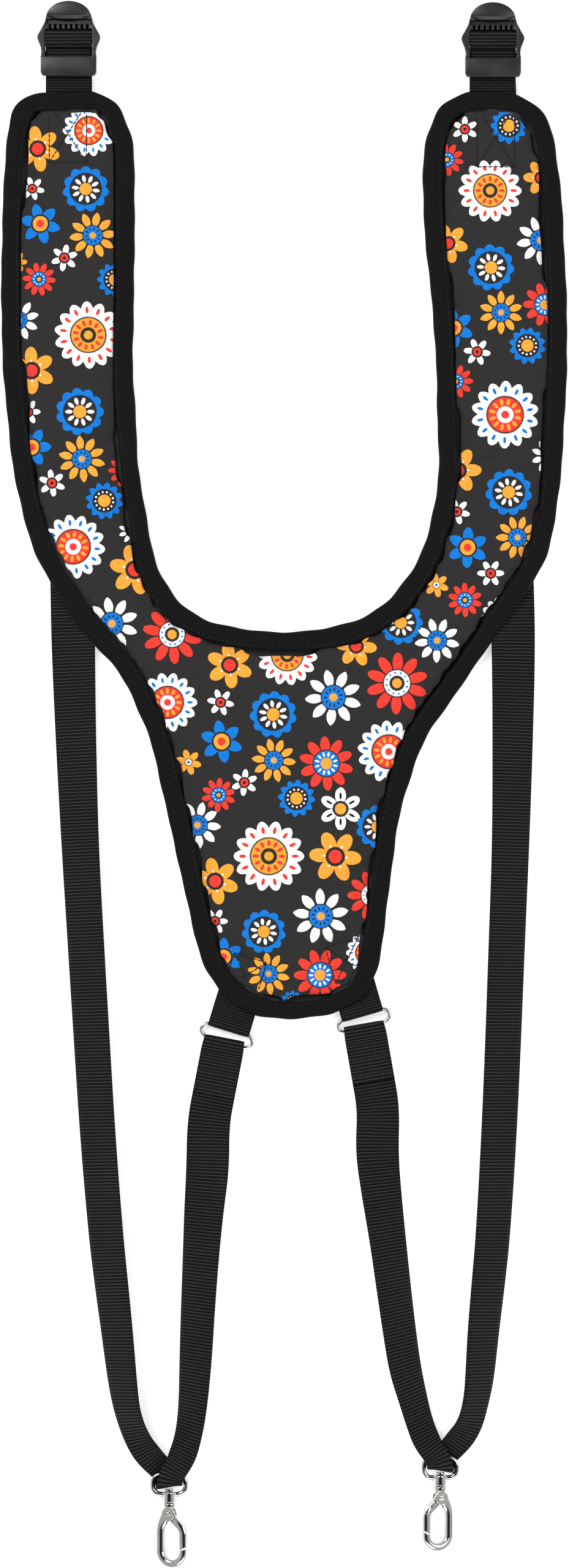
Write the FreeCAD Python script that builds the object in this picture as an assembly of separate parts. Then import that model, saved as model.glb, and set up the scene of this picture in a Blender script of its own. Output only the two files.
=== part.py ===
import FreeCAD, Part
import math
import os

# Saxophone strap harness. Millimetres, +Z up, underside of the pad and straps on z = 0.
# X runs across the shoulders, +Y runs from the hooks towards the buckles.

os.makedirs("parts", exist_ok=True)
V = FreeCAD.Vector
UP = V(0, 0, 1)

# ---- driving dimensions -------------------------------------------------------------------
WEB_W = 25.0            # webbing width
WEB_T = 1.2             # webbing thickness
TAB_W = 25.6            # width of the sewn buckle tabs
TAB_RING_W = 23.6       # width of the sewn ring tabs

BIND_T = 0.7            # binding tape thickness
BIND_FLANGE = 10.0      # binding width on the face and on the back
BIND_H = 6.0            # binding height at the rim of the pad
SKIN_T = 0.5            # face fabric and lining thickness
SKIN_IN = 0.8           # skins start this far inside the rim
PUFF_Z = 8.8            # top of the padded face
PUFF_IN = 16.0          # the face reaches full height this far inside the rim

CHAN_W = 29.6           # width of the passage for the strap under each arm
CHAN_Z = 1.8            # height of that passage
CHAN_TAB_Z = 3.9        # height of the passage where tab and strap are stacked
CHAN_RING_Z = 2.6       # height of the passage over each ring tab

BAR_Z = 4.0             # height of the buckle's rear bar
BAR_R = 1.3             # radius of the rear bar
RING_R = 1.1            # ring wire radius
RING_LONG = 31.4        # ring, outside length
RING_WIDE = 11.5        # ring, outside width
RING_Z = 2.6            # height of the ring wire

EYE_R = 1.4             # hook eye wire radius
HOOK_Z = 5.0            # height of the hook's long axis
HOOK_ROLL = 20.0        # roll of the hook body about its long axis
HOOK_DEEP = 4.5         # depth of the hook body
HOOK_WALL = 4.2         # width of the hook's loop wall

# ---- outline of the pad, counter-clockwise from the top of the left arm --------------------
LEFT_OUTER = [(-119, 383), (-131.5, 382.8), (-141.7, 381), (-148.8, 374.3), (-153.2, 359.8),
              (-155, 334.5), (-156.3, 304), (-156.8, 277), (-156.3, 243), (-154.2, 213),
              (-151.2, 182.4), (-145.8, 152), (-136, 123.3), (-123.1, 101.4), (-106.3, 77.7),
              (-90.7, 59.5), (-80.6, 39), (-72.8, 18.6), (-67, -6.8), (-61, -33.8),
              (-55.2, -60.8), (-49.2, -86), (-43, -104), (-35, -115.5), (-22, -125)]
BOTTOM = [(-4, -130.5), (13.7, -129.7), (28.2, -126.4), (42.4, -119), (49.5, -108.8)]
RIGHT_OUTER = [(53.2, -93), (56.9, -67.6), (61.3, -33.8), (66.7, -6.8), (74.2, 16.2),
               (83.6, 33.8), (97.8, 54), (112, 74.3), (126.2, 95.3), (137.7, 111.5),
               (147, 133.4), (152, 162), (154.6, 192.6), (155.9, 223), (156.3, 253.4),
               (155.2, 290.5), (153.2, 324.3), (148.8, 356.4), (141.7, 371.6), (130.2, 380.7),
               (115, 383), (101.5, 382.4), (90.4, 378.4), (82.3, 370), (77.9, 354.7)]
INNER = [(76.2, 331), (77.9, 297.3), (80.9, 267), (83.3, 236.5), (84.3, 206), (84.6, 172.3),
         (80.9, 147), (72.8, 123.3), (57.5, 102), (35.6, 89.5), (12, 85), (-13.3, 85),
         (-38.5, 89.5), (-58, 101), (-69.8, 120), (-75.8, 147), (-79.9, 172.3), (-82.3, 206),
         (-83.6, 236.5), (-82.8, 267), (-82.6, 297.3), (-82.6, 331), (-84, 354.7),
         (-88.7, 371), (-96, 379.4), (-106.3, 382.8)]
OUTLINE = LEFT_OUTER + BOTTOM + RIGHT_OUTER + INNER


# ---- closed smooth outlines ---------------------------------------------------------------
def poles_through(points):
    """Poles of the closed uniform cubic B-spline that passes through the points."""
    poles = [tuple(p) for p in points]
    n = len(points)
    for _ in range(40):
        new = []
        for i in range(n):
            x = (6 * points[i][0] - poles[i - 1][0] - poles[(i + 1) % n][0]) / 4.0
            y = (6 * points[i][1] - poles[i - 1][1] - poles[(i + 1) % n][1]) / 4.0
            new.append((x, y))
        poles = new
    return poles


def smooth_samples(points, per_span):
    """Points, inward normals and radii of curvature along the smooth outline."""
    poles = poles_through(points)
    n = len(poles)
    found = []
    for i in range(n):
        a, b, c, d = poles[i - 1], poles[i], poles[(i + 1) % n], poles[(i + 2) % n]
        for k in range(per_span):
            t = k / float(per_span)
            w = ((1 - t) ** 3 / 6, (3 * t ** 3 - 6 * t ** 2 + 4) / 6,
                 (-3 * t ** 3 + 3 * t ** 2 + 3 * t + 1) / 6, t ** 3 / 6)
            g = (-(1 - t) ** 2 / 2, (3 * t ** 2 - 4 * t) / 2,
                 (-3 * t ** 2 + 2 * t + 1) / 2, t ** 2 / 2)
            h = (1 - t, 3 * t - 2, 1 - 3 * t, t)
            x, y = [sum(w[j] * q[m] for j, q in enumerate((a, b, c, d))) for m in (0, 1)]
            dx, dy = [sum(g[j] * q[m] for j, q in enumerate((a, b, c, d))) for m in (0, 1)]
            ex, ey = [sum(h[j] * q[m] for j, q in enumerate((a, b, c, d))) for m in (0, 1)]
            speed = math.hypot(dx, dy)
            bend = (dx * ey - dy * ex) / speed ** 3
            radius = 1.0 / bend if bend > 1e-4 else 1e4
            found.append((x, y, -dy / speed, dx / speed, radius))
    return found


def inset(points, distance):
    """The outline moved inwards; less where a convex corner is too tight for it."""
    rows = smooth_samples(points, 2)
    n = len(rows)
    room = []
    for i in range(n):
        near = [rows[(i + k) % n][4] for k in range(-5, 6)]
        room.append(min(distance, 0.8 * min(near)))
    even = [sum(room[(i + k) % n] for k in range(-3, 4)) / 7.0 for i in range(n)]
    return [(r[0] + r[2] * e, r[1] + r[3] * e) for r, e in zip(rows, even)]


def outline_wire(points, z):
    curve = Part.BSplineCurve()
    curve.buildFromPoles([V(x, y, z) for x, y in poles_through(points)], True, 3)
    return Part.Wire([curve.toShape()])


def prism(points, z0, z1):
    return Part.Face(outline_wire(points, z0)).extrude(V(0, 0, z1 - z0))


# ---- straight runs joined by tangent arcs --------------------------------------------------
def runs(points, closed=False, share=0.45, radius=None):
    """Lines and arcs through plan points: ("line", a, b) or ("arc", a, b, centre, turn)."""
    pts = [V(x, y, 0) for x, y in points]
    n = len(pts)
    corners = range(n) if closed else range(1, n - 1)
    cut = {}
    for i in corners:
        before = pts[i] - pts[i - 1]
        after = pts[(i + 1) % n] - pts[i]
        turn = math.atan2(before.x * after.y - before.y * after.x, before.dot(after))
        short = min(before.Length, after.Length)
        size = share * short / math.tan(abs(turn) / 2)
        if radius is not None:
            size = min(radius, size)
        back = size * math.tan(abs(turn) / 2)
        d0 = V(before).normalize()
        d1 = V(after).normalize()
        a = pts[i] - d0 * back
        b = pts[i] + d1 * back
        side = V(-d0.y, d0.x, 0) * (1 if turn > 0 else -1)
        cut[i] = ("arc", a, b, a + side * size, math.degrees(turn), size)
    found = []
    for i in range(n if closed else n - 1):
        j = (i + 1) % n
        a = cut[i][2] if i in cut else pts[i]
        b = cut[j][1] if j in cut else pts[j]
        if (b - a).Length > 1e-6:
            found.append(("line", a, b))
        if j in cut and (closed or j != n - 1):
            found.append(cut[j])
    return found


def run_length(parts):
    total = 0.0
    for part in parts:
        if part[0] == "line":
            total += (part[2] - part[1]).Length
        else:
            total += math.radians(abs(part[4])) * part[5]
    return total


def start_direction(part):
    if part[0] == "line":
        return (part[2] - part[1]).normalize()
    arm = part[1] - part[3]
    turn = 1 if part[4] > 0 else -1
    return V(-arm.y * turn, arm.x * turn, 0).normalize()


def sweep(parts, section):
    """Carries a section, a list of (sideways, height) corners or a radius, along the runs."""
    whole = None
    for part in parts:
        ahead = start_direction(part)
        left = V(-ahead.y, ahead.x, 0)
        if isinstance(section, list):
            ring = [part[1] + left * s + UP * h for s, h in section]
            face = Part.Face(Part.makePolygon(ring + [ring[0]]))
        else:
            face = Part.Face(Part.Wire([Part.makeCircle(section, part[1], ahead)]))
        if part[0] == "line":
            piece = face.extrude(part[2] - part[1])
        else:
            piece = face.revolve(part[3], UP, part[4])
        if piece.Volume < 0:
            piece.reverse()
        whole = piece if whole is None else whole.fuse(piece)
    return whole.removeSplitter()


def rolled(width, thick, roll, floor):
    """Corners of a flat section rolled about its own middle, standing on the floor height."""
    c, s = math.cos(math.radians(roll)), math.sin(math.radians(roll))
    corners = []
    for u, v in ((-1, -1), (1, -1), (1, 1), (-1, 1)):
        a, b = u * width / 2, v * thick / 2
        corners.append((a * c - b * s, a * s + b * c))
    low = min(h for _, h in corners)
    return [(a, h - low + floor) for a, h in corners]


def flat_strip(points, width, z0, z1):
    half = width / 2
    return sweep(runs(points), [(-half, z0), (half, z0), (half, z1), (-half, z1)])


def yz_strip(points, thick, x, width, radius=1.4):
    """A folded strip: its path lies in the YZ plane and it is width wide along X."""
    parts = runs(points, radius=radius)
    half = thick / 2
    flat = sweep(parts, [(-half, -width / 2), (half, -width / 2), (half, width / 2), (-half, width / 2)])
    return stand_up(flat, x)


def stand_up(shape, x):
    """Turns plan (first, second, height) into (Y, Z, X) at the given X."""
    copy = shape.copy()
    turn = FreeCAD.Matrix(0, 0, 1, x, 1, 0, 0, 0, 0, 1, 0, 0, 0, 0, 0, 1)
    copy.Placement = FreeCAD.Placement(turn).multiply(copy.Placement)
    return copy


def box(x0, x1, y0, y1, z0, z1):
    return Part.makeBox(x1 - x0, y1 - y0, z1 - z0, V(x0, y0, z0))


def polygon_prism(points, z0, z1):
    ring = [V(x, y, z0) for x, y in points]
    return Part.Face(Part.makePolygon(ring + [ring[0]])).extrude(V(0, 0, z1 - z0))


def disc(x, y, r, z0, z1):
    return Part.makeCylinder(r, z1 - z0, V(x, y, z0), UP)


def turned(shape, centre, axis, angle):
    copy = shape.copy()
    copy.rotate(centre, axis, angle)
    return copy


def one_solid(shape, name):
    solids = shape.Solids
    if len(solids) != 1:
        sizes = ["%.2f" % s.Volume for s in solids]
        print("WARNING", name, "has", len(solids), "solids", sizes)
        solids = sorted(solids, key=lambda s: -s.Volume)
    return solids[0]


MADE = {}


def save(name, shape, single=True):
    solid = one_solid(shape, name) if single else shape
    if not solid.isValid():
        print("WARNING", name, "is not valid")
    solid.exportStep("parts/%s.step" % name)
    MADE[name] = solid
    b = solid.BoundBox
    print("%-22s vol %9.1f  x %7.1f %7.1f  y %7.1f %7.1f  z %5.2f %5.2f"
          % (name, solid.Volume, b.XMin, b.XMax, b.YMin, b.YMax, b.ZMin, b.ZMax))


def strap(name, points, section, area):
    parts = runs(points)
    for part in parts:
        if part[0] == "arc":
            print("   ", name, "arc radius %.1f turn %.1f" % (part[5], part[4]))
    shape = sweep(parts, section)
    length = run_length(parts)
    print("   ", name, "length %.1f  volume ratio %.3f" % (length, shape.Volume / (area * length)))
    save(name, shape)
    return length


# ---- layout of the two sides ---------------------------------------------------------------
# buckle: X of its middle and Y of its dome.  under: strap line beneath the arm.
# ring: centre, tilt of its long axis, tilt of the strap end, X of the strap end.
# hook: X of its long axis and Y of the eye wire.  out: which way the gate side faces.
LEFT = {
    "side": "left", "out": 1,
    "buckle": (-119.1, 432.1),
    "under": [(-119.1, 402.5), (-116.9, 70)],
    "ring": (-31.9, -138.9), "ring_tilt": -17.0, "end_tilt": -11.0, "end_x": -33.6,
    "hook": (-63.6, -381.1),
    "outer": [(-116.9, 70), (-112.8, -33.8), (-106.3, -141.9), (-98.6, -250), (-91.5, -320)],
    "inner": [(-45.3, -244), (-48.2, -300)],
    "roll": 30.0,
}
RIGHT = {
    "side": "right", "out": -1,
    "buckle": (115.0, 431.4),
    "under": [(115.0, 402.5), (126.9, 70)],
    "ring": (43.9, -130.7), "ring_tilt": 16.0, "end_tilt": 10.0, "end_x": 44.2,
    "hook": (86.0, -372.0),
    "outer": [(126.9, 70), (124.8, -33.8), (120.6, -141.9), (115.2, -250), (110.5, -310)],
    "inner": [(55.4, -235), (63.0, -300)],
    "roll": 30.0,
}
SIDES = [LEFT, RIGHT]

END_LEN = 45.0          # ring bar to the far end of the doubled strap end
RING_REACH = RING_WIDE - 2 * RING_R          # distance between the ring's two bars
TAB_RUN = 45.0          # ring tab, from the ring bar to its sewn end
FOLD_W = 12.5           # webbing folded in half lengthwise where it goes through the eye
FOLD_T = 2.4
FOLD_UP = 15.9          # the folded part reaches this far above the middle of its turn
FOLD_OUT = 15.5         # and this far sideways, outwards on the lower layer


def across(tilt):
    a = math.radians(tilt)
    return V(math.cos(a), math.sin(a), 0)


def along(tilt):
    a = math.radians(tilt)
    return V(-math.sin(a), math.cos(a), 0)


def ring_bars(s):
    middle = V(s["ring"][0], s["ring"][1], 0)
    step = along(s["ring_tilt"]) * (RING_REACH / 2)
    return middle + step, middle - step


# ---- passages under the pad ----------------------------------------------------------------
def strap_passage(s, grow, top):
    (x0, y0), (x1, y1) = s["under"]
    slope = (x1 - x0) / (y1 - y0)
    ends = [(x0 + slope * (420 - y0), 420), (x0 + slope * (56 - y0), 56)]
    return flat_strip(ends, CHAN_W + 2 * grow, -1, top)


def tab_passage(s, grow, top):
    x = s["buckle"][0]
    return box(x - CHAN_W / 2 - grow, x + CHAN_W / 2 + grow, 336 - grow, 420, -1, top)


def ring_passage(s, grow, top):
    bar = ring_bars(s)[0]
    far = bar + along(s["ring_tilt"]) * (TAB_RUN + 0.4 + grow)
    near = bar - along(s["ring_tilt"]) * 12
    return flat_strip([(near.x, near.y), (far.x, far.y)], TAB_RING_W + 1.0 + 2 * grow, -1, top)


def passages(grow, lift):
    whole = None
    for s in SIDES:
        for make, top in ((strap_passage, CHAN_Z), (tab_passage, CHAN_TAB_Z), (ring_passage, CHAN_RING_Z)):
            piece = make(s, grow, top + lift)
            whole = piece if whole is None else whole.fuse(piece)
    return whole


def loft(low, z0, high, z1):
    return Part.makeLoft([outline_wire(low, z0), outline_wire(high, z1)], True, True)


def make_pad():
    rim = inset(OUTLINE, BIND_T)
    skin = inset(OUTLINE, SKIN_IN)
    flange = inset(OUTLINE, BIND_FLANGE)
    foam_low = inset(OUTLINE, BIND_FLANGE + 0.7)
    foam_high = inset(OUTLINE, PUFF_IN + 0.5)
    face_low = inset(OUTLINE, BIND_FLANGE + 0.1)
    face_high = inset(OUTLINE, PUFF_IN)
    hollow = passages(0, 0)
    shell = passages(SKIN_T, SKIN_T)

    binding = prism(OUTLINE, 0, BIND_H)
    binding = binding.cut(prism(rim, BIND_T, BIND_H - BIND_T))
    binding = binding.cut(prism(flange, -1, BIND_H + 1))
    binding = binding.cut(hollow)
    save("edge_binding", binding)

    body = prism(skin, BIND_T, 40)
    lining = prism(skin, BIND_T, BIND_T + SKIN_T).fuse(shell.common(body))
    save("back_lining", lining.cut(hollow))

    edge_top = BIND_H - BIND_T - SKIN_T
    foam = prism(skin, BIND_T + SKIN_T, edge_top)
    foam = foam.fuse(loft(foam_low, edge_top - 0.2, foam_high, PUFF_Z - SKIN_T))
    face = prism(skin, edge_top, edge_top + SKIN_T)
    face = face.fuse(loft(face_low, edge_top + SKIN_T - 0.3, face_high, PUFF_Z))
    save("face_fabric", face.cut(foam))
    save("foam_core", foam.cut(shell))


# ---- buckle, its tab and the laced webbing -------------------------------------------------
def buckle_outline():
    """Right half of the buckle's outline: (half width, distance below the dome's top)."""
    half = []
    for k in range(9):
        a = math.radians(90 - 10 * k)
        half.append((12.6 * math.cos(a), 9.5 - 9.5 * math.sin(a)))
    half += [(13.6, 12.5), (15.6, 16.2), (17.2, 18.9), (17.4, 20.3), (16.6, 22.6),
             (15.5, 25.2), (14.95, 28.5), (15.35, 31.0), (15.35, 39.4), (14.6, 41.0), (13.0, 41.6)]
    return half


def make_buckle(s):
    x, top = s["buckle"]
    half = buckle_outline()
    ring = [(x + w, top - d) for w, d in half]
    ring += [(x - w, top - d) for w, d in reversed(half) if w > 0.01]
    whole = polygon_prism(ring, 3.0, 8.8)
    inner = 12.95
    rear = 13.2
    back = top - 41.6
    cover = top - 31.0
    whole = whole.cut(box(x - 30, x + 30, cover + 4, top + 1, 7.0, 9))
    whole = whole.cut(box(x - inner, x + inner, cover, cover + 5, 6.9, 9))
    whole = whole.cut(box(x - inner, x + inner, top - 29.0, top - 12.5, 2, 7.1))
    whole = whole.cut(box(x - rear, x + rear, back - 1, top - 28.9, 2, 7.0))
    whole = whole.cut(box(x - 30, x + 30, back - 1, cover - 0.8, 2, 4.7))
    for k in range(9):
        tooth = x + (k - 4) * 2.95
        whole = whole.fuse(box(tooth - 0.85, tooth + 0.85, top - 15.5, top - 12.3, 3.2, 6.0))
    whole = whole.fuse(box(x - 13.1, x + 13.1, top - 23.5, top - 17.7, 3.4, 6.1))
    bar = Part.makeCylinder(BAR_R, 27.4, V(x - 13.7, top - 29.3, BAR_Z), V(1, 0, 0))
    save("ladder_buckle_" + s["side"], whole.fuse(bar))


def teardrop(y, z, r, flat_z, reach, x, width):
    """Round end at (y, z) drawn out to a point on the line z = flat_z, as a prism along X."""
    py, pz = y - reach, flat_z
    dist = math.hypot(py - y, pz - z)
    base = math.atan2(pz - z, py - y)
    spread = math.acos(r / dist)
    points = [(py, pz)]
    steps = 24
    a0 = base + spread
    a1 = base - spread + 2 * math.pi
    for k in range(steps + 1):
        a = a0 + (a1 - a0) * k / steps
        points.append((y + r * math.cos(a), z + r * math.sin(a)))
    return stand_up(polygon_prism(points, -width / 2, width / 2), x)


def make_tab(s):
    x, top = s["buckle"]
    bar_y = top - 29.3
    low = BAR_Z - 1.4 - WEB_T
    high = low + 2 * WEB_T
    loop = teardrop(bar_y, BAR_Z, 1.4 + WEB_T, high, 13.0, x, TAB_W)
    hole = teardrop(bar_y, BAR_Z, 1.4, low + WEB_T + 0.1, 4.2, x, TAB_W + 2)
    tail = box(x - TAB_W / 2, x + TAB_W / 2, 340, bar_y, low, low + WEB_T)
    tail = tail.fuse(box(x - TAB_W / 2, x + TAB_W / 2, 340, bar_y - 12.9, low, high))
    save("buckle_tab_" + s["side"], tail.fuse(loop).cut(hole))


def make_threading(s):
    x, top = s["buckle"]
    up = top - 25.1
    down = top - 16.5
    path = [(403.0, 0.6), (up, 0.6), (up, 6.9), (down, 6.9), (down, 0.8), (top - 4.0, 0.8)]
    strip = yz_strip(path, WEB_T, x, WEB_W)
    hem = box(x - WEB_W / 2, x + WEB_W / 2, top - 13.5, top - 4.0, 1.2, 2.5)
    parts = runs(path, radius=1.4)
    print("    threading length %.1f" % run_length(parts))
    save("strap_threading_" + s["side"], strip.fuse(hem))


# ---- rings, ring tabs and strap ends --------------------------------------------------------
def folded_end(bar, heading, length, width, lead, clear):
    """Doubled webbing around a bar: runs from the bar along heading; lead is extra room ahead."""
    side = V(-heading.y, heading.x, 0)
    outer = 1.4 + WEB_T

    def strip(x0, x1, z0, z1):
        ring = [bar + heading * a + side * b for a, b in
                ((x0, -width / 2), (x1, -width / 2), (x1, width / 2), (x0, width / 2))]
        ring = [V(p.x, p.y, z0) for p in ring]
        return Part.Face(Part.makePolygon(ring + [ring[0]])).extrude(V(0, 0, z1 - z0))

    def rod(at, r, extra):
        foot = bar + heading * at - side * (width / 2 + extra)
        return Part.makeCylinder(r, width + 2 * extra, V(foot.x, foot.y, RING_Z), side)
    loop = rod(-lead, outer, 0).fuse(strip(-lead, clear, 0, 2 * outer))
    slope = strip(clear, length, 0, 2 * WEB_T)
    ramp = wedge(bar + heading * clear, heading, side, width, 2 * outer, 2 * WEB_T, 2.6)
    hole = rod(-lead, 1.4, 1).fuse(rod(clear, 1.4, 1))
    bore = cutter(bar, heading, side, -lead, clear, width + 2, RING_Z - 1.4, RING_Z + 1.4)
    return loop.fuse(slope).fuse(ramp).cut(hole.fuse(bore))


def wedge(at, heading, side, width, high, low, reach):
    """A slope that falls from high to low over reach."""
    a = [V(at.x, at.y, 0), V(at.x, at.y, high)]
    b = at + heading * reach
    a += [V(b.x, b.y, low), V(b.x, b.y, 0)]
    a = [p - side * (width / 2) for p in a]
    return Part.Face(Part.makePolygon(a + [a[0]])).extrude(side * width)


def cutter(bar, heading, side, x0, x1, width, z0, z1):
    ring = [bar + heading * a + side * b for a, b in
            ((x0, -width / 2), (x1, -width / 2), (x1, width / 2), (x0, width / 2))]
    ring = [V(p.x, p.y, z0) for p in ring]
    return Part.Face(Part.makePolygon(ring + [ring[0]])).extrude(V(0, 0, z1 - z0))


def make_ring(s):
    upper, lower = ring_bars(s)
    side = across(s["ring_tilt"])
    half = (RING_LONG - RING_WIDE) / 2
    reach = half + RING_REACH / 2
    corners = [upper - side * reach, lower - side * reach, lower + side * reach, upper + side * reach]
    parts = runs([(p.x, p.y) for p in corners], closed=True, radius=RING_REACH / 2 - 0.001)
    wire = sweep(parts, RING_R)
    wire.translate(V(0, 0, RING_Z))
    save("ring_" + s["side"], wire)


def make_ring_ends(s):
    upper, lower = ring_bars(s)
    tab = folded_end(upper, along(s["ring_tilt"]), TAB_RUN, TAB_RING_W, 0, 0.3)
    save("ring_tab_" + s["side"], tab)
    start = V(s["end_x"], lower.y + (s["end_x"] - lower.x) * math.tan(math.radians(s["ring_tilt"])), 0)
    heading = along(s["end_tilt"]) * -1
    end = folded_end(start, heading, END_LEN, WEB_W - 1.4, 2.4, 1.9)
    save("strap_end_" + s["side"], end)
    far = start + heading * END_LEN
    lift = RING_REACH * math.sin(math.radians(18))
    fall = math.degrees(math.asin(lift / END_LEN))
    print("    ring hinge at", upper, "strap hinge at", far, "ratio %.4f" % (fall / 18.0))
    return far


# ---- free straps -----------------------------------------------------------------------------
def make_straps(s, far):
    x, wire_y = s["hook"]
    turn_y = wire_y - 1.8
    top_y = turn_y + FOLD_UP
    out = -s["out"]
    lower_x = x + out * FOLD_OUT
    upper_x = x - out * FOLD_OUT * 0.58
    half = FOLD_W / 2
    radius = HOOK_Z - 0.1 - FOLD_T / 2
    low = HOOK_Z - radius - FOLD_T / 2
    high = HOOK_Z + radius - FOLD_T / 2

    def leaf(x_top, z0):
        ring = [(x - half, turn_y), (x + half, turn_y), (x_top + half, top_y), (x_top - half, top_y)]
        return polygon_prism(ring, z0, z0 + FOLD_T)

    bend = disc(0, 0, radius + FOLD_T / 2, -half, half).cut(disc(0, 0, radius - FOLD_T / 2, -half - 1, half + 1))
    bend = bend.cut(box(0, 30, -30, 30, -half - 1, half + 1))
    bend = stand_up(bend, x)
    bend.translate(V(0, turn_y, HOOK_Z))
    save("strap_bight_" + s["side"], bend.fuse(leaf(lower_x, low)).fuse(leaf(upper_x, high)))

    flat = [(-WEB_W / 2, 0), (WEB_W / 2, 0), (WEB_W / 2, WEB_T), (-WEB_W / 2, WEB_T)]
    total = strap("strap_under_" + s["side"], s["under"], flat, WEB_W * WEB_T)
    tilt = rolled(WEB_W, WEB_T, s["roll"] * s["out"], 0)
    total += strap("strap_outer_" + s["side"], s["outer"] + [(lower_x, top_y)], tilt, WEB_W * WEB_T)
    tilt = rolled(WEB_W, WEB_T, -s["roll"] * s["out"], 0)
    heading = along(s["end_tilt"]) * -1
    start = far + heading * 1.8
    inner = [(start.x, start.y)] + s["inner"] + [(upper_x, top_y)]
    total += strap("strap_inner_" + s["side"], inner, tilt, WEB_W * WEB_T)
    folded = 2 * FOLD_UP + math.pi * radius
    print("    webbing on the", s["side"], "about %.0f mm" % (total + folded + END_LEN))


# ---- snap hooks ---------------------------------------------------------------------------------
def plan_rod(points, r, closed, radius, z):
    wire = sweep(runs(points, closed=closed, radius=radius), r)
    wire.translate(V(0, 0, z))
    return wire


def along_y(r, y0, y1):
    """Cylinder on the hook's long axis, in the hook's own frame."""
    return Part.makeCylinder(r, y1 - y0, V(0, y0, 0), V(0, 1, 0))


def to_side(s, shape, roll):
    """From the hook's own frame, gate towards +X, to its place on this side."""
    copy = shape.copy()
    if s["out"] < 0:
        copy = copy.mirror(V(0, 0, 0), V(1, 0, 0))
    if roll:
        copy.rotate(V(0, 0, 0), V(0, 1, 0), -HOOK_ROLL * s["out"])
    copy.translate(V(s["hook"][0], s["hook"][1], HOOK_Z))
    return copy


EYE_HALF = 9.1          # eye wire centreline, half width
EYE_DROP = 10.9         # top wire to bottom wire
COLLAR = (-15.2, -9.6)  # swivel collar along Y, from the top wire
FLANGE = (-17.9, -15.7)
HEAD_Y = -18.4          # top of the hook body
RIVET_Y = -21.4         # gate rivet
LOOP_Y = -42.4          # middle of the hook's bottom bend
LOOP_X = 1.6
LOOP_R = 6.7
GATE_REACH = 21.0       # gate tip, measured from the rivet


def gate_line(y_tip):
    """Gate line: from the rivet out to the nose."""
    return [(0, RIVET_Y), (LOOP_X + LOOP_R, -30.3), (LOOP_X + LOOP_R, y_tip)]


def make_hook(s):
    corners = [(-EYE_HALF, 0), (-EYE_HALF, -EYE_DROP), (EYE_HALF, -EYE_DROP), (EYE_HALF, 0)]
    eye = plan_rod(corners, EYE_R, True, 4.6, 0)
    eye = eye.fuse(along_y(3.45, COLLAR[0], COLLAR[1])).cut(along_y(1.6, COLLAR[0] - 1, COLLAR[1] + 3))
    save("hook_eye_" + s["side"], to_side(s, eye, False))

    deep = HOOK_DEEP / 2
    wall = HOOK_WALL / 2
    section = [(-wall, -deep), (wall, -deep), (wall, deep), (-wall, deep)]
    left = LOOP_X - LOOP_R
    line = [(-1.4, HEAD_Y - 3.2), (left, HEAD_Y - 11.5), (left, LOOP_Y)]
    arm = sweep(runs(line, radius=9.0), section)
    bend = disc(LOOP_X, LOOP_Y, LOOP_R + wall, -deep, deep)
    bend = bend.cut(disc(LOOP_X, LOOP_Y, LOOP_R - wall, -deep - 1, deep + 1))
    bend = bend.cut(box(-30, 30, LOOP_Y, 30, -9, 9))
    right = LOOP_X + LOOP_R
    nose = box(right - wall, right + wall, LOOP_Y, LOOP_Y + 4, -deep, deep)
    nose = nose.cut(disc(0, RIVET_Y, GATE_REACH + 0.3, -9, 9))
    head = disc(0, HEAD_Y - 3.4, 3.9, -deep, deep)
    body = arm.fuse(bend).fuse(nose).fuse(head)
    body = body.cut(box(-2.8, 7, HEAD_Y - 9, HEAD_Y - 0.3, -1.15, 1.15))
    body = body.cut(disc(0, RIVET_Y, 1.2, -9, 9))
    post = along_y(1.3, HEAD_Y - 0.1, -7.8).fuse(along_y(2.4, -9.3, -7.8))
    body = body.fuse(along_y(3.45, FLANGE[0], FLANGE[1])).fuse(along_y(2.2, HEAD_Y - 0.1, FLANGE[0]))
    save("hook_body_" + s["side"], to_side(s, body.fuse(post), True))

    pin = disc(0, RIVET_Y, 1.2, -deep - 0.25, deep + 0.25)
    save("gate_pin_" + s["side"], to_side(s, pin, True))

    line = runs(gate_line(LOOP_Y - 1), radius=7.0)
    bar = sweep(line, [(-wall, -2.1), (wall, -2.1), (wall, 2.1), (-wall, 2.1)])
    near = disc(0, RIVET_Y, 4.6, -9, 9)
    tip = disc(0, RIVET_Y, GATE_REACH, -9, 9)
    leaf = box(-30, 30, -90, 30, -0.85, 0.85)
    gate = bar.common(tip).cut(near)
    root = bar.common(disc(0, RIVET_Y, 5.2, -9, 9)).common(leaf).fuse(disc(0, RIVET_Y, 2.6, -0.85, 0.85))
    gate = gate.fuse(root)
    gate = gate.cut(disc(0, RIVET_Y, 1.5, -9, 9)).cut(disc(0, RIVET_Y, 2.2, -0.05, 0.9))
    save("hook_gate_" + s["side"], to_side(s, gate, True))

    coil = Part.makeTorus(1.85, 0.17, V(0, RIVET_Y, 0.20), UP)
    coil = coil.fuse(Part.makeTorus(1.85, 0.17, V(0, RIVET_Y, 0.48), UP))
    save("gate_spring_" + s["side"], to_side(s, coil, True))


make_pad()
for side in SIDES:
    make_buckle(side)
    make_tab(side)
    make_threading(side)
    make_ring(side)
    far_end = make_ring_ends(side)
    make_straps(side, far_end)
    make_hook(side)


# ---- the pieces must not share volume --------------------------------------------------------
names = sorted(MADE)
clashes = 0
for i, a in enumerate(names):
    for b in names[i + 1:]:
        if not MADE[a].BoundBox.intersect(MADE[b].BoundBox):
            continue
        shared = MADE[a].common(MADE[b]).Volume
        if shared > 0.01:
            clashes += 1
            print("OVERLAP", a, b, "%.3f" % shared)
print(len(names), "nodes,", clashes, "overlaps")
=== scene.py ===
import bpy
import bmesh
import math
import numpy as np
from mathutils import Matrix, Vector
from mathutils.bvhtree import BVHTree
from mathutils.geometry import delaunay_2d_cdt


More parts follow.
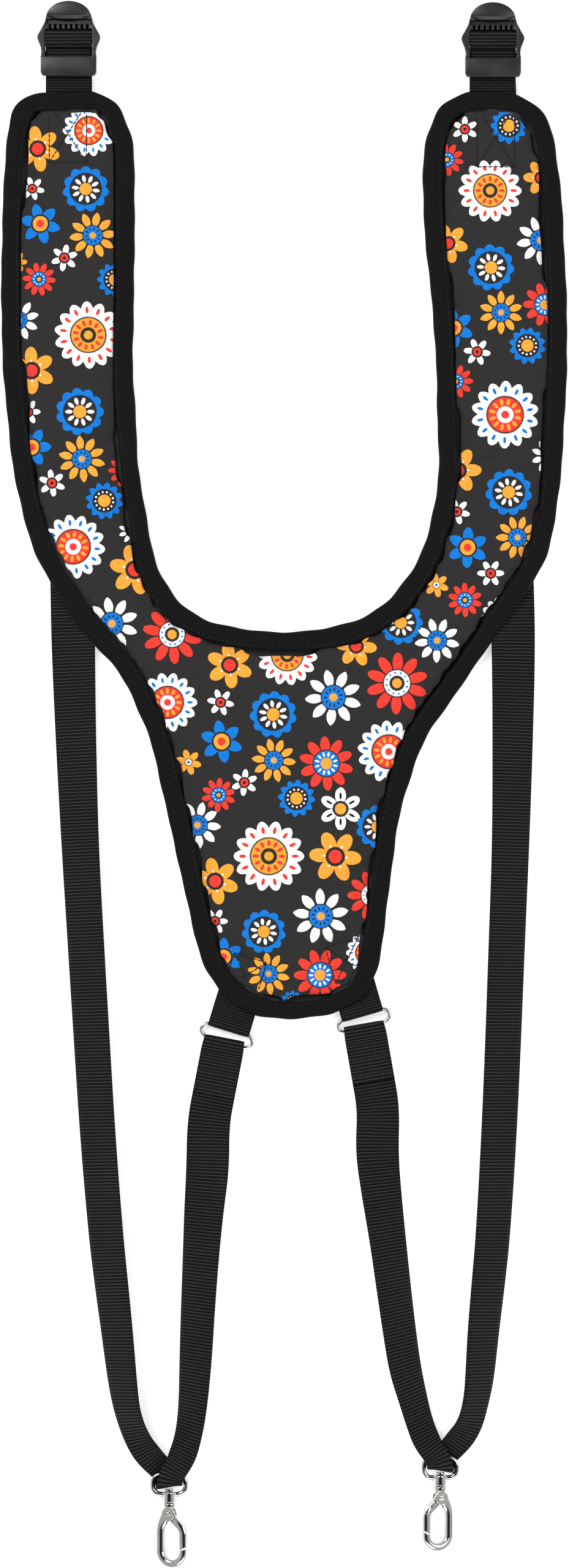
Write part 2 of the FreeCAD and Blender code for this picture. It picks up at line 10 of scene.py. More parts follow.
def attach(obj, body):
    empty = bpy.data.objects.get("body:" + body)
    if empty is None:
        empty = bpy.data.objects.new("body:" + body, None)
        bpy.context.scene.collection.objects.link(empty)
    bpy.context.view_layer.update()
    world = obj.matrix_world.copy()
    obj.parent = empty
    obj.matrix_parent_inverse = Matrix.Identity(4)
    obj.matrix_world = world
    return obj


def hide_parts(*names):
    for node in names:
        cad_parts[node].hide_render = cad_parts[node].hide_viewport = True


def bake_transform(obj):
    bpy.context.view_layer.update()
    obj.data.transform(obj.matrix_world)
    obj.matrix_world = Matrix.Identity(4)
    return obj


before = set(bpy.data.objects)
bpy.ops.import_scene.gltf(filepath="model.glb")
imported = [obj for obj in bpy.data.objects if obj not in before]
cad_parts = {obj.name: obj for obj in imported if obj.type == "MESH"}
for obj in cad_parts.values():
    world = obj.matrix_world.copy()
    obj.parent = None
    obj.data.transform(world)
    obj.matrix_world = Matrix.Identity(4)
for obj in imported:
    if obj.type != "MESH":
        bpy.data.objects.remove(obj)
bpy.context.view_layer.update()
MM = 0.001
scene = bpy.context.scene

# ---- camera ----
cam_data = bpy.data.cameras.new("camera")
VIEW_HEIGHT = 0.8652                   # metres of floor from the top of the picture to its bottom
SENSOR, LENS = 36.0, 100.0             # the sensor's longer side and the lens, in mm
cam_data.sensor_width = SENSOR
cam_data.lens = LENS
cam_data.clip_start = 0.05
cam = bpy.data.objects.new("camera", cam_data)
scene.collection.objects.link(cam)
cam.location = (0.0, 0.0, VIEW_HEIGHT * LENS / SENSOR + 0.006)
scene.camera = cam
scene.view_settings.view_transform = "Standard"

# ---- the two sides: straps, rings, hooks.  Millimetres, as in the CAD model ----
# a strap point is (x, y, middle height, half width, roll in degrees)
SIDES = {
    "left": {
        "out": 1, "buckle": (-119.1, 432.1), "hook": (-63.6, -381.1),
        "ring": (-31.9, -138.9), "ring_tilt": -17.0, "end_tilt": -11.0, "end_x": -33.6,
        "outer": [(-119.1, 402.5, 0.6, 12.4, 0), (-118.4, 300, 0.6, 12.4, 0), (-117.6, 190, 0.6, 12.4, 0),
                  (-117.2, 112, 0.7, 12.4, 0), (-116.7, 74, 3.0, 12.4, 12), (-115, 20, 5.6, 12.4, 24),
                  (-112.8, -34, 6.8, 12.4, 32), (-109.6, -88, 7.2, 12.4, 34), (-106.3, -142, 7.4, 12.4, 35),
                  (-102.9, -196, 7.6, 12.4, 36), (-98.4, -250, 8.0, 12.4, 38), (-95.3, -277, 8.2, 12.4, 40),
                  (-92.1, -304, 8.6, 12.2, 43), (-89.2, -331, 8.8, 11.8, 46), (-86.6, -347, 8.4, 11.0, 48),
                  (-81.5, -361, 6.6, 9.6, 40), (-75.0, -371.5, 3.4, 8.2, 16)],
        "inner": [(-56.6, -371.5, 9.6, 8.2, -24), (-53.0, -360, 9.6, 10.0, -44), (-50.6, -344, 9.4, 11.6, -48),
                  (-49.0, -317, 9.0, 12.4, -44), (-47.8, -290, 8.6, 12.4, -41), (-46.3, -263, 7.8, 12.4, -37),
                  (-44.6, -236, 6.4, 12.4, -29), (-42.4, -213, 3.8, 12.4, -16)],
    },
    "right": {
        "out": -1, "buckle": (115.0, 431.4), "hook": (86.0, -372.0),
        "ring": (43.9, -130.7), "ring_tilt": 16.0, "end_tilt": 10.0, "end_x": 44.2,
        "outer": [(115.0, 402.5, 0.6, 12.4, 0), (118.7, 300, 0.6, 12.4, 0), (122.7, 190, 0.6, 12.4, 0),
                  (125.5, 112, 0.7, 12.4, 0), (126.6, 74, 3.0, 12.4, -12), (125.9, 20, 5.6, 12.4, -24),
                  (124.8, -34, 6.8, 12.4, -32), (122.6, -88, 7.2, 12.4, -34), (120.6, -142, 7.4, 12.4, -35),
                  (118.2, -196, 7.6, 12.4, -36), (114.9, -250, 8.0, 12.4, -38), (112.2, -277, 8.2, 12.4, -40),
                  (109.4, -304, 8.6, 12.2, -43), (107.6, -328, 8.8, 11.8, -46), (105.6, -341, 8.4, 11.0, -48),
                  (102.4, -353, 6.6, 9.6, -40), (96.6, -362.5, 3.4, 8.2, -16)],
        "inner": [(78.4, -362.5, 9.6, 8.2, 24), (74.4, -352, 9.6, 10.0, 44), (70.6, -338, 9.4, 11.6, 48),
                  (66.4, -322, 9.0, 12.4, 45), (63.4, -302, 8.8, 12.4, 43), (60.0, -276, 8.4, 12.4, 40),
                  (56.8, -250, 7.6, 12.4, 36), (53.4, -225, 6.0, 12.4, 27), (51.0, -203, 3.6, 12.4, 15)],
    },
}
WEB_T, TAB_T = 1.2, 1.15               # webbing thickness: the long straps, the tabs and laced pieces
RING_BAR = 4.65                        # from the ring's middle to each of its long bars
RING_Z = 2.6                           # height of the ring's wire
END_HINGE = 45.0                       # from the ring's lower bar to where the sewn end lifts
NO_LINE = 99.0                         # farther than any search reaches


def across(tilt):
    """The plan direction across a strap or tab at this tilt in degrees."""
    a = math.radians(tilt)
    return Vector((math.cos(a), math.sin(a), 0))


def along(tilt):
    """The plan direction up a strap or tab at this tilt in degrees."""
    a = math.radians(tilt)
    return Vector((-math.sin(a), math.cos(a), 0))


def ring_bar(s, sign):
    """Plan point at the middle of a ring's upper (1) or lower (-1) bar."""
    return Vector((s["ring"][0], s["ring"][1], 0)) + along(s["ring_tilt"]) * RING_BAR * sign


def end_start(s):
    """Plan point where the strap's end meets the ring's lower bar."""
    lower = ring_bar(s, -1)
    return Vector((s["end_x"], lower.y + (s["end_x"] - lower.x) * math.tan(math.radians(s["ring_tilt"])), 0))


def nurbs(points):
    """The line that a smooth open spline of order 3 takes past these control points."""
    curve = bpy.data.curves.new("route", "CURVE")
    curve.dimensions = "3D"
    spline = curve.splines.new("NURBS")
    spline.points.add(len(points) - 1)
    for p, q in zip(spline.points, points):
        p.co = (q[0] * MM, q[1] * MM, q[2] * MM, 1.0)
    spline.order_u = 3
    spline.use_endpoint_u = True
    spline.resolution_u = 14
    obj = bpy.data.objects.new("route", curve)
    scene.collection.objects.link(obj)
    mesh = bpy.data.meshes.new_from_object(obj)
    line = np.array([v.co for v in mesh.vertices], float)
    bpy.data.objects.remove(obj)
    bpy.data.curves.remove(curve)
    bpy.data.meshes.remove(mesh)
    return line


def link(name, mesh):
    obj = bpy.data.objects.new(name, mesh)
    scene.collection.objects.link(obj)
    return obj


def unit(v):
    return v / np.maximum(np.linalg.norm(v, axis=-1, keepdims=True), 1e-9)


def ribbon(name, centre, edge, thick, cols=8):
    """Webbing along a line, in metres; edge is the same line moved to one selvedge. Thick is in mm."""
    n = len(centre)
    tangent = unit(np.gradient(centre, axis=0))
    side = edge - centre
    half = np.linalg.norm(side, axis=1)
    side = unit(side - (side * tangent).sum(1, keepdims=True) * tangent)
    normal = np.cross(tangent, side)
    length = np.concatenate([[0], np.cumsum(np.linalg.norm(np.diff(centre, axis=0), axis=1))])
    t = thick * MM / 2
    loop = []                          # the section, as shares of half width and half thickness
    for way in (1, -1):
        for k in range(cols + 1):
            s = way * (-1 + 2 * k / cols)
            loop.append((s * 0.985, way * (1.0 if 0 < k < cols else 0.72)))
        loop.append((way * 1.0, 0.0))
    m = len(loop)
    verts = []
    for i in range(n):
        for s, h in loop:
            verts.append(centre[i] + side[i] * half[i] * s + normal[i] * t * h)
    faces = []
    for i in range(n - 1):
        for k in range(m):
            faces.append((i * m + k, i * m + (k + 1) % m, (i + 1) * m + (k + 1) % m, (i + 1) * m + k))
    faces.append(tuple(range(m - 1, -1, -1)))
    faces.append(tuple((n - 1) * m + k for k in range(m)))
    mesh = bpy.data.meshes.new(name)
    mesh.from_pydata([tuple(v) for v in verts], [], faces)
    uv = mesh.uv_layers.new(name="UVMap")
    for poly in mesh.polygons:
        for li in poly.loop_indices:
            vi = mesh.loops[li].vertex_index
            i, k = divmod(vi, m)
            uv.data[li].uv = (length[i], loop[k][0] * half[i])
    mesh.polygons.foreach_set("use_smooth", [True] * len(mesh.polygons))
    return link(name, mesh)


def rolled_points(rows):
    """Centre points and selvedge points of a strap from its control rows."""
    centre = [(r[0], r[1], r[2]) for r in rows]
    edge = []
    for i, r in enumerate(rows):
        a = rows[max(i - 1, 0)]
        b = rows[min(i + 1, len(rows) - 1)]
        heading = math.atan2(b[1] - a[1], b[0] - a[0])
        if len(r) > 5:
            edge.append(tuple(c + d for c, d in zip(centre[i], r[5])))
            continue
        roll = math.radians(r[4])
        sx, sy = -math.sin(heading), math.cos(heading)
        edge.append((r[0] + sx * r[3] * math.cos(roll), r[1] + sy * r[3] * math.cos(roll),
                     r[2] + r[3] * math.sin(roll)))
    return centre, edge


def end_rows(s):
    """Control rows of the strap end: along the floor, round the ring's lower bar and back on top."""
    start = end_start(s)
    ahead = along(s["end_tilt"])
    side = across(s["end_tilt"])
    # (distance ahead of the bar, height)
    steps = [(-45, 0.95), (-26, 0.68), (-9, 0.65), (1.7, 0.60), (2.6, 1.3), (2.6, 4.3), (1.4, 5.7),
             (-3.2, 4.9), (-7.5, 2.3), (-12, 1.9), (-20, 1.9), (-29.5, 1.9)]
    rows = []
    for a, z in steps:
        p = start + ahead * a
        half = 11.2 if a > 0 else 11.7                 # drawn in a little where it bends round the ring
        w = side * half
        rows.append((p.x, p.y, z, half, 0, (w.x, w.y, 0.0)))
    return rows


# ---- the straps ----
PIECES = {}
for name, s in SIDES.items():
    hx, hy = s["hook"]
    o = s["out"]
    # turn through the hook eye: under the eye wire, up, and back over it
    w = 7.0 * o
    turn = [(hx - 1.6 * o, hy - 0.2, 1.35, 7.2, 0, (w, 1.0, 0.0)),
            (hx - 0.6 * o, hy - 6.3, 1.35, 7.0, 0, (w, 1.2, 0.0)),
            (hx, hy - 6.5, 9.0, 7.0, 0, (w, 1.4, 0.0)),
            (hx + 1.0 * o, hy - 0.4, 9.3, 7.2, 0, (w, 0.8, -0.6 * o))]
    rows = s["outer"] + turn + s["inner"] + end_rows(s)
    centre_pts, edge_pts = rolled_points(rows)
    # keep the same selvedge on the same side all along the strap
    for i, middle in enumerate(centre_pts):
        side = Vector(edge_pts[i]) - Vector(middle)
        if side.x * o < 0:
            edge_pts[i] = tuple(Vector(middle) - side)
    centre = nurbs(centre_pts)
    edge = nurbs(edge_pts)
    cut = int(np.argmin(centre[:, 1]))
    PIECES["outer_" + name] = (centre[:cut + 1], edge[:cut + 1])
    PIECES["inner_" + name] = (centre[cut:], edge[cut:])

straps = {}
for key, (centre, edge) in PIECES.items():
    straps[key] = ribbon("webbing_" + key, centre, edge, WEB_T)


# ---- a short way to write node materials ----
class Nodes:
    def __init__(self, name):
        self.mat = bpy.data.materials.new(name)
        self.mat.use_nodes = True
        self.tree = self.mat.node_tree
        self.bsdf = self.tree.nodes["Principled BSDF"]

    def node(self, kind, **props):
        found = self.tree.nodes.new(kind)
        for key, value in props.items():
            setattr(found, key, value)
        return found

    def plug(self, value, socket):
        if isinstance(value, (int, float, tuple, list)):
            socket.default_value = value
        else:
            self.tree.links.new(value, socket)

    def math(self, op, *values):
        n = self.node("ShaderNodeMath", operation=op)
        for value, socket in zip(values, n.inputs):
            self.plug(value, socket)
        return n.outputs[0]

    def add(self, a, b):
        return self.math("ADD", a, b)

    def sub(self, a, b):
        return self.math("SUBTRACT", a, b)

    def mul(self, a, b):
        return self.math("MULTIPLY", a, b)

    def div(self, a, b):
        return self.math("DIVIDE", a, b)

    def mul_add(self, a, b, c):
        return self.math("MULTIPLY_ADD", a, b, c)

    def vec(self, op, *values):
        n = self.node("ShaderNodeVectorMath", operation=op)
        for value, socket in zip(values, n.inputs):
            self.plug(value, socket)
        return n.outputs["Value" if op == "LENGTH" else "Vector"]

    def split(self, v):
        n = self.node("ShaderNodeSeparateXYZ")
        self.plug(v, n.inputs[0])
        return n.outputs[0], n.outputs[1], n.outputs[2]

    def join(self, x, y, z=0.0):
        n = self.node("ShaderNodeCombineXYZ")
        for v, s in zip((x, y, z), n.inputs):
            self.plug(v, s)
        return n.outputs[0]

    def position(self):
        return self.node("ShaderNodeTexCoord").outputs["Object"]

    def uv(self):
        return self.node("ShaderNodeUVMap", uv_map="UVMap").outputs["UV"]

    def noise(self, v, scale, detail):
        n = self.node("ShaderNodeTexNoise")
        for key, value in (("Vector", v), ("Scale", scale), ("Detail", detail), ("Roughness", 0.5)):
            self.plug(value, n.inputs[key])
        return n.outputs["Fac"]

    def mix(self, fac, a, b, blend="MIX"):
        n = self.node("ShaderNodeMix", data_type="RGBA", blend_type=blend)
        self.plug(fac, n.inputs[0])
        for value, socket in ((a, n.inputs[6]), (b, n.inputs[7])):
            if isinstance(value, tuple) and len(value) == 3:
                value = value + (1.0,)
            self.plug(value, socket)
        return n.outputs[2]

    def fit(self, v, a, b):
        """0 where v is a, 1 where it is b, eased between."""
        n = self.node("ShaderNodeMapRange", interpolation_type="SMOOTHSTEP")
        for key, value in (("Value", v), ("From Min", a), ("From Max", b), ("To Min", 0.0), ("To Max", 1.0)):
            self.plug(value, n.inputs[key])
        return n.outputs[0]

    def bump(self, height, distance, strength):
        n = self.node("ShaderNodeBump")
        for key, value in (("Strength", strength), ("Distance", distance), ("Height", height)):
            self.plug(value, n.inputs[key])
        self.plug(n.outputs[0], self.bsdf.inputs["Normal"])

    def set(self, **values):
        names = {"color": "Base Color", "rough": "Roughness", "metal": "Metallic", "sheen": "Sheen Weight",
                 "sheen_rough": "Sheen Roughness", "specular": "Specular IOR Level"}
        for key, value in values.items():
            if isinstance(value, tuple) and len(value) == 3:
                value = value + (1.0,)
            self.plug(value, self.bsdf.inputs[names[key]])
        return self.mat


def sine_ridges(m, coordinate, pitch_mm):
    """0 to 1 across each ridge of the given pitch; the coordinate is in metres."""
    angle = m.mul(coordinate, 2 * math.pi / (pitch_mm * MM))
    return m.mul_add(m.math("SINE", angle), 0.5, 0.5)


def webbing_material(name, rib_mm, fine_mm, crest_highlight, depth):
    """Ribbed woven tape: rows of short floats across it, each row half a float on from the last. The float
    crests are painted lighter and the grooves near black, as painted highlight and painted shade.
    """
    m = Nodes(name)
    u, v, _ = m.split(m.uv())

    def wander(value, place, scale, reach):
        """The coordinate pushed a little to and fro, in metres."""
        push = m.sub(m.noise(place, scale, 2.0), 0.5)
        return m.add(value, m.mul(push, reach))

    u2 = wander(u, m.join(u, v), 260.0, 0.00055)
    rib = sine_ridges(m, u2, rib_mm)
    row = m.math("SIGN", m.math("SINE", m.mul(u2, math.pi / (rib_mm * MM))))
    v2 = wander(v, m.join(v, u), 300.0, 0.0005)
    float_wave = m.mul(m.math("SINE", m.mul(v2, 2 * math.pi / (fine_mm * MM))), row)
    dash = m.mul_add(m.fit(float_wave, -0.75, 0.35), 0.75, 0.25)
    thread = m.mul(m.fit(rib, 0.22, 0.95), dash)
    patch = m.noise(m.join(u, v), 30.0, 3.0)
    strand = m.noise(m.join(u, v), 900.0, 2.0)
    # painted highlight on the float crests and painted shade in the grooves, varied in random patches and
    # strands
    crest_highlight_and_tone = m.mul(thread, m.mul_add(patch, 0.5, 0.55))
    crest_highlight_and_tone = m.mul(crest_highlight_and_tone, m.mul_add(strand, 0.7, 0.65))
    color = m.mix(crest_highlight_and_tone, (0.0012, 0.0012, 0.0013), (crest_highlight, crest_highlight * 0.98, crest_highlight))
    lint = m.fit(m.noise(m.join(u, v), 1500.0, 1.0), 0.71, 0.78)
    color = m.mix(m.mul(lint, 0.10), color, (0.12, 0.12, 0.12))
    rough = m.mul_add(thread, -0.16, 0.74)
    m.bump(thread, depth, 1.0)
    return m.set(color=color, rough=rough, sheen=0.01, sheen_rough=0.45, specular=0.10)


# rib and float pitch in mm, lightness of the painted highlight on the float crests, depth of the relief in
# metres
MAT_WEB = webbing_material("webbing_weave", 1.8, 0.95, 0.046, 0.00045)
MAT_TAB = webbing_material("tab_weave", 1.45, 0.85, 0.036, 0.0004)
MAT_BIND = webbing_material("binding_weave", 1.15, 0.95, 0.013, 0.00035)


def metal_material(name, tint, rough):
    """Polished nickel: fine handling scratches, a little clouding."""
    m = Nodes(name)
    p = m.position()
    cloud = m.noise(p, 130.0, 3.0)
    hair = m.noise(m.vec("MULTIPLY", p, (4000.0, 300.0, 2500.0)), 1.0, 2.0)
    r = m.mul_add(cloud, 0.12, rough)
    r = m.add(r, m.mul(m.fit(hair, 0.62, 0.8), 0.10))
    color = m.mix(m.fit(cloud, 0.35, 0.7), tint, tuple(0.86 * t for t in tint))
    m.bump(m.add(cloud, m.mul(hair, 0.2)), 0.00005, 0.25)
    return m.set(color=color, rough=r, metal=1.0)


MAT_NICKEL = metal_material("nickel", (0.62, 0.605, 0.58), 0.03)
MAT_RING = metal_material("ring_nickel", (0.68, 0.665, 0.635), 0.10)
MAT_STEEL = metal_material("spring_steel_wire", (0.55, 0.55, 0.56), 0.28)


def plastic_material():
    """Moulded black plastic: very fine spark texture, rubbed a little in random patches."""
    m = Nodes("moulded_plastic")
    p = m.position()
    grain = m.noise(p, 3800.0, 2.0)
    rub = m.noise(p, 90.0, 3.0)
    color = m.mix(m.fit(rub, 0.45, 0.75), (0.0065, 0.0063, 0.0065), (0.014, 0.0135, 0.014))
    r = m.mul_add(rub, 0.12, 0.30)
    m.bump(m.add(grain, m.mul(rub, 0.8)), 0.00006, 0.35)
    return m.set(color=color, rough=r, specular=0.5)


MAT_PLASTIC = plastic_material()


def thread_material():
    """Twisted black sewing thread."""
    m = Nodes("sewing_thread")
    p = m.position()
    twist = m.noise(p, 2600.0, 2.0)
    color = m.mix(twist, (0.002, 0.002, 0.002), (0.012, 0.012, 0.0125))
    m.bump(twist, 0.0002, 0.6)
    return m.set(color=color, rough=0.65, sheen=0.02, specular=0.25)


MAT_THREAD = thread_material()


def lining_material():
    """Plain black knitted lining."""
    m = Nodes("lining_knit")
    x, y, _ = m.split(m.position())
    a = sine_ridges(m, m.add(x, m.mul(y, 0.5)), 1.1)
    b = sine_ridges(m, m.sub(x, m.mul(y, 0.5)), 1.1)
    knit = m.mul(a, b)
    highlight_and_wear_patches = m.noise(m.position(), 45.0, 3.0)
    # painted highlight on the knit loops and painted shade between them, stronger in random patches
    color = m.mix(m.mul(knit, highlight_and_wear_patches), (0.004, 0.004, 0.0042), (0.05, 0.05, 0.052))
    m.bump(knit, 0.0003, 0.7)
    return m.set(color=color, rough=0.82, sheen=0.3)


MAT_LINING = lining_material()


# ---- printed cloth: plain garden flowers of a few kinds on charcoal ----
INK = {
    "ground": (0.019, 0.0177, 0.0175), "blue": (0.0, 0.17, 0.60), "red": (0.78, 0.040, 0.024),
    "orange": (0.86, 0.345, 0.036), "white": (0.84, 0.84, 0.85), "black": (0.014, 0.013, 0.013),
}
# each kind: (petals, half width, inner end, 1 pointed to 2 round), (disc, core, pip radius),
# (dots, their ring, half length, half width), (streak middle, half length, half width),
# then the inks of petal, disc, dots, core, pip and streak.  Sizes are shares of the radius
KINDS = {
    "daisy": ((6, 0.22, 0.20, 2.0), (0.38, 0.29, 0.12), (0, 0, 0, 0), (0, 0, 0),
              "white ground white red black white"),
    "star6": ((6, 0.25, 0.18, 1.45), (0.42, 0.37, 0.19), (0, 0, 0, 0), (0, 0, 0),
              "blue ground white orange red white"),
    "bloom6": ((6, 0.265, 0.20, 2.0), (0.33, 0.255, 0.0), (0, 0, 0, 0), (0.42, 0.075, 0.032),
               "orange ground white red red white"),
    "rosette": ((11, 0.27, 0.20, 2.0), (0.66, 0.27, 0.0), (10, 0.455, 0.15, 0.078), (0, 0, 0),
                "blue ground white orange orange white"),
    "sun10": ((10, 0.16, 0.36, 1.25), (0.40, 0.13, 0.0), (10, 0.275, 0.062, 0.032), (0, 0, 0),
              "orange blue ground orange orange white"),
    "sun9": ((9, 0.165, 0.34, 1.3), (0.41, 0.14, 0.0), (11, 0.28, 0.065, 0.032), (0, 0, 0),
             "white blue ground orange orange white"),
    "wheel": ((10, 0.165, 0.36, 2.0), (0.42, 0.25, 0.155), (12, 0.345, 0.033, 0.033), (0, 0, 0),
              "red white blue ground orange white"),
    "aster": ((10, 0.175, 0.36, 2.0), (0.47, 0.21, 0.0), (12, 0.345, 0.085, 0.040), (0, 0, 0),
              "red blue white orange orange white"),
    "pink": ((10, 0.17, 0.36, 2.0), (0.43, 0.20, 0.12), (10, 0.31, 0.045, 0.034), (0, 0, 0),
             "red blue white ground orange white"),
    "cog": ((12, 0.215, 0.20, 1.5), (0.60, 0.33, 0.0), (13, 0.475, 0.058, 0.050), (0, 0, 0),
            "blue ground white orange orange white"),
    "bud": ((6, 0.25, 0.20, 2.0), (0.27, 0.22, 0.12), (0, 0, 0, 0), (0, 0, 0),
            "orange orange white white blue white"),
    "slot": ((6, 0.25, 0.22, 2.0), (0.33, 0.26, 0.0), (0, 0, 0, 0), (0.60, 0.16, 0.055),
             "white ground white orange orange black"),
    "peony": ((14, 0.20, 0.20, 2.0), (0.52, 0.245, 0.12), (12, 0.385, 0.095, 0.052), (0.755, 0.095, 0.045),
              "white red orange white red blue"),
    "dahlia": ((14, 0.20, 0.20, 2.0), (0.50, 0.235, 0.13), (12, 0.37, 0.09, 0.050), (0.745, 0.10, 0.048),
               "white orange red ground orange red"),
}
# where they lie on the cloth: kind, x, y, radius, turn in degrees; millimetres
FLOWERS = [
    # left arm
    ("bloom6", -136.2, 350.5, 12.6, 20), ("peony", -108.0, 360.5, 14.4, 0), ("rosette", -109.6, 328, 12.8, 8),
    ("daisy", -139.2, 328.6, 6.8, 12), ("star6", -134.6, 308.8, 11.2, 15), ("sun10", -105.7, 302.4, 12.9, 30),
    ("daisy", -121.3, 289.9, 7.4, 40), ("pink", -135.3, 278.2, 9.2, 5), ("bud", -147.6, 288, 5.6, 0),
    ("cog", -93.6, 278.2, 9.7, 0), ("dahlia", -108.2, 247.5, 18.6, 10), ("sun9", -146.8, 255.9, 11.6, 25),
    ("bloom6", -139.5, 228, 13.0, 28), ("rosette", -112.8, 205.2, 13.2, 0), ("daisy", -141.4, 205.2, 6.9, 0),
    ("star6", -139.5, 185.8, 11.0, 0), ("sun10", -111.7, 179.1, 12.9, 12), ("daisy", -128.2, 165.9, 7.4, 22),
    ("cog", -99.3, 156.1, 10.3, 10), ("wheel", -88.2, 173.0, 9.0, 0), ("peony", -116.5, 130.8, 17.6, 5),
    ("bloom6", -82.6, 118.2, 14.0, 14), ("sun9", -95.3, 88.4, 14.8, 20), ("sun9", -85.5, 213.7, 9.4, 0),
    ("pink", -139.5, 152.0, 5.2, 0), ("sun9", -84.5, 139.5, 7.0, 0),
    # right arm
    ("daisy", 99.5, 361.2, 7.2, 30), ("cog", 123.8, 363.2, 10.2, 0), ("pink", 89.7, 344.6, 9.2, 10),
    ("dahlia", 113.3, 327, 17.4, 0), ("bloom6", 90.2, 298.2, 11.0, 15), ("rosette", 113.8, 284.6, 12.8, 4),
    ("sun9", 141.2, 299.8, 13.4, 10), ("bloom6", 141.5, 334.5, 9.8, 0), ("sun10", 119.3, 259.8, 12.0, 18),
    ("aster", 143.7, 264.4, 12.2, 0), ("star6", 93.4, 251.7, 11.0, 25), ("daisy", 106.2, 238.2, 7.4, 8),
    ("cog", 133.9, 241.6, 10.2, 12), ("pink", 94.8, 222.1, 9.2, 0), ("peony", 121.6, 203.5, 18.6, 14),
    ("bloom6", 95.9, 173.1, 12.8, 0), ("rosette", 123.6, 160.8, 12.9, 10), ("sun9", 145.5, 181, 9.5, 0),
    ("daisy", 95.1, 150.3, 7.2, 15), ("sun10", 128.5, 135.9, 12.0, 0), ("star6", 101, 130.4, 11.3, 32),
    ("bud", 83.8, 109.8, 6.8, 20), ("daisy", 113.7, 116.2, 7.4, 0), ("pink", 99.5, 101.4, 9.4, 16),
    ("dahlia", 119.5, 92, 11.0, 0), ("sun9", 84.2, 79.2, 12.4, 12),
    # middle
    ("wheel", -62, 82.5, 16.3, 12), ("bloom6", -30.2, 65.6, 12.9, 24), ("dahlia", 1.5, 71, 16.6, 4),
    ("bloom6", 39.5, 76, 11.4, 6), ("rosette", 64.2, 89, 12.2, 0), ("wheel", 62, 55.5, 17.0, 20),
    ("daisy", -35.2, 45, 7.4, 10), ("rosette", -6.2, 38.3, 12.9, 12), ("sun9", 26.9, 47.7, 15.6, 16),
    ("peony", -64.5, 45, 16.4, 0), ("star6", -34.7, 23.4, 11.8, 20), ("sun10", -5.9, 13, 12.2, 5),
    ("aster", 23, 11.3, 14.9, 14), ("peony", 57.5, 17.8, 17.2, 8), ("bud", -52.9, 12, 7.1, 14),
    ("daisy", -22.1, 0.8, 7.4, 36), ("pink", -36.3, -6.1, 9.4, 22), ("cog", 6.6, -7.9, 10.3, 5),
    ("slot", 30.9, -13.7, 11.9, 30), ("sun9", -48, -22.7, 13.0, 4), ("dahlia", -8.6, -39.8, 19.4, 0),
    ("rosette", 51.2, -23.6, 11.8, 0), ("bloom6", 28, -40, 14.4, 5), ("bloom6", -38.3, -53.6, 13.0, 18),
    ("wheel", 48.2, -61.4, 13.6, 0), ("sun9", 20, -72.9, 15.4, 28), ("rosette", -11.4, -81.4, 12.1, 10),
    ("daisy", -38.4, -75.7, 7.2, 0), ("peony", 45.2, -93.2, 11.2, 0), ("star6", -33.5, -95.4, 10.6, 30),
    ("sun10", -8.8, -104.7, 11.8, 12), ("aster", 19.6, -105.4, 14.4, 0), ("daisy", -20.2, -118, 5.4, 0),
    ("cog", 4.4, -120.5, 6.6, 0),
]
FLOWER_VALUES = ("place", "form", "shape", "disc", "dots", "dot_size", "flame")
FLOWER_INKS = ("petal", "plate", "seed", "core", "pip", "streak")


def flower_facts(flower):
    """The vectors that the print's shader draws one flower from."""
    kind, x, y, radius, turn = flower
    form, disc, dots, flame, inks = KINDS[kind]
    facts = [(x, y, radius), (form[0], math.radians(turn), form[1]), (form[2], form[3], 0.0), disc,
             (dots[0], dots[1], 0.0), (max(dots[2], 0.001), max(dots[3], 0.001), 0.0),
             (flame[0], max(flame[1], 0.001), max(flame[2], 0.001))]
    return facts + [INK[name] for name in inks.split()]


def sow_flowers(obj):
    """Tells every face of the cloth which flower is nearest to it, for the print to draw."""
    mesh = obj.data
    middle = np.zeros(len(mesh.polygons) * 3)
    mesh.polygons.foreach_get("center", middle)
    middle = middle.reshape(-1, 3)[:, :2] / MM
    spots = np.array([f[1:4] for f in FLOWERS], float)
    gap = np.linalg.norm(middle[:, None, :] - spots[None, :, :2], axis=2) - spots[None, :, 2]
    nearest = gap.argmin(1)
    table = np.array([flower_facts(f) for f in FLOWERS], float)
    for k, name in enumerate(FLOWER_VALUES + FLOWER_INKS):
        layer = mesh.attributes.new("flower_" + name, "FLOAT_VECTOR", "FACE")
        layer.data.foreach_set("vector", np.ascontiguousarray(table[nearest, k, :], np.float32).ravel())


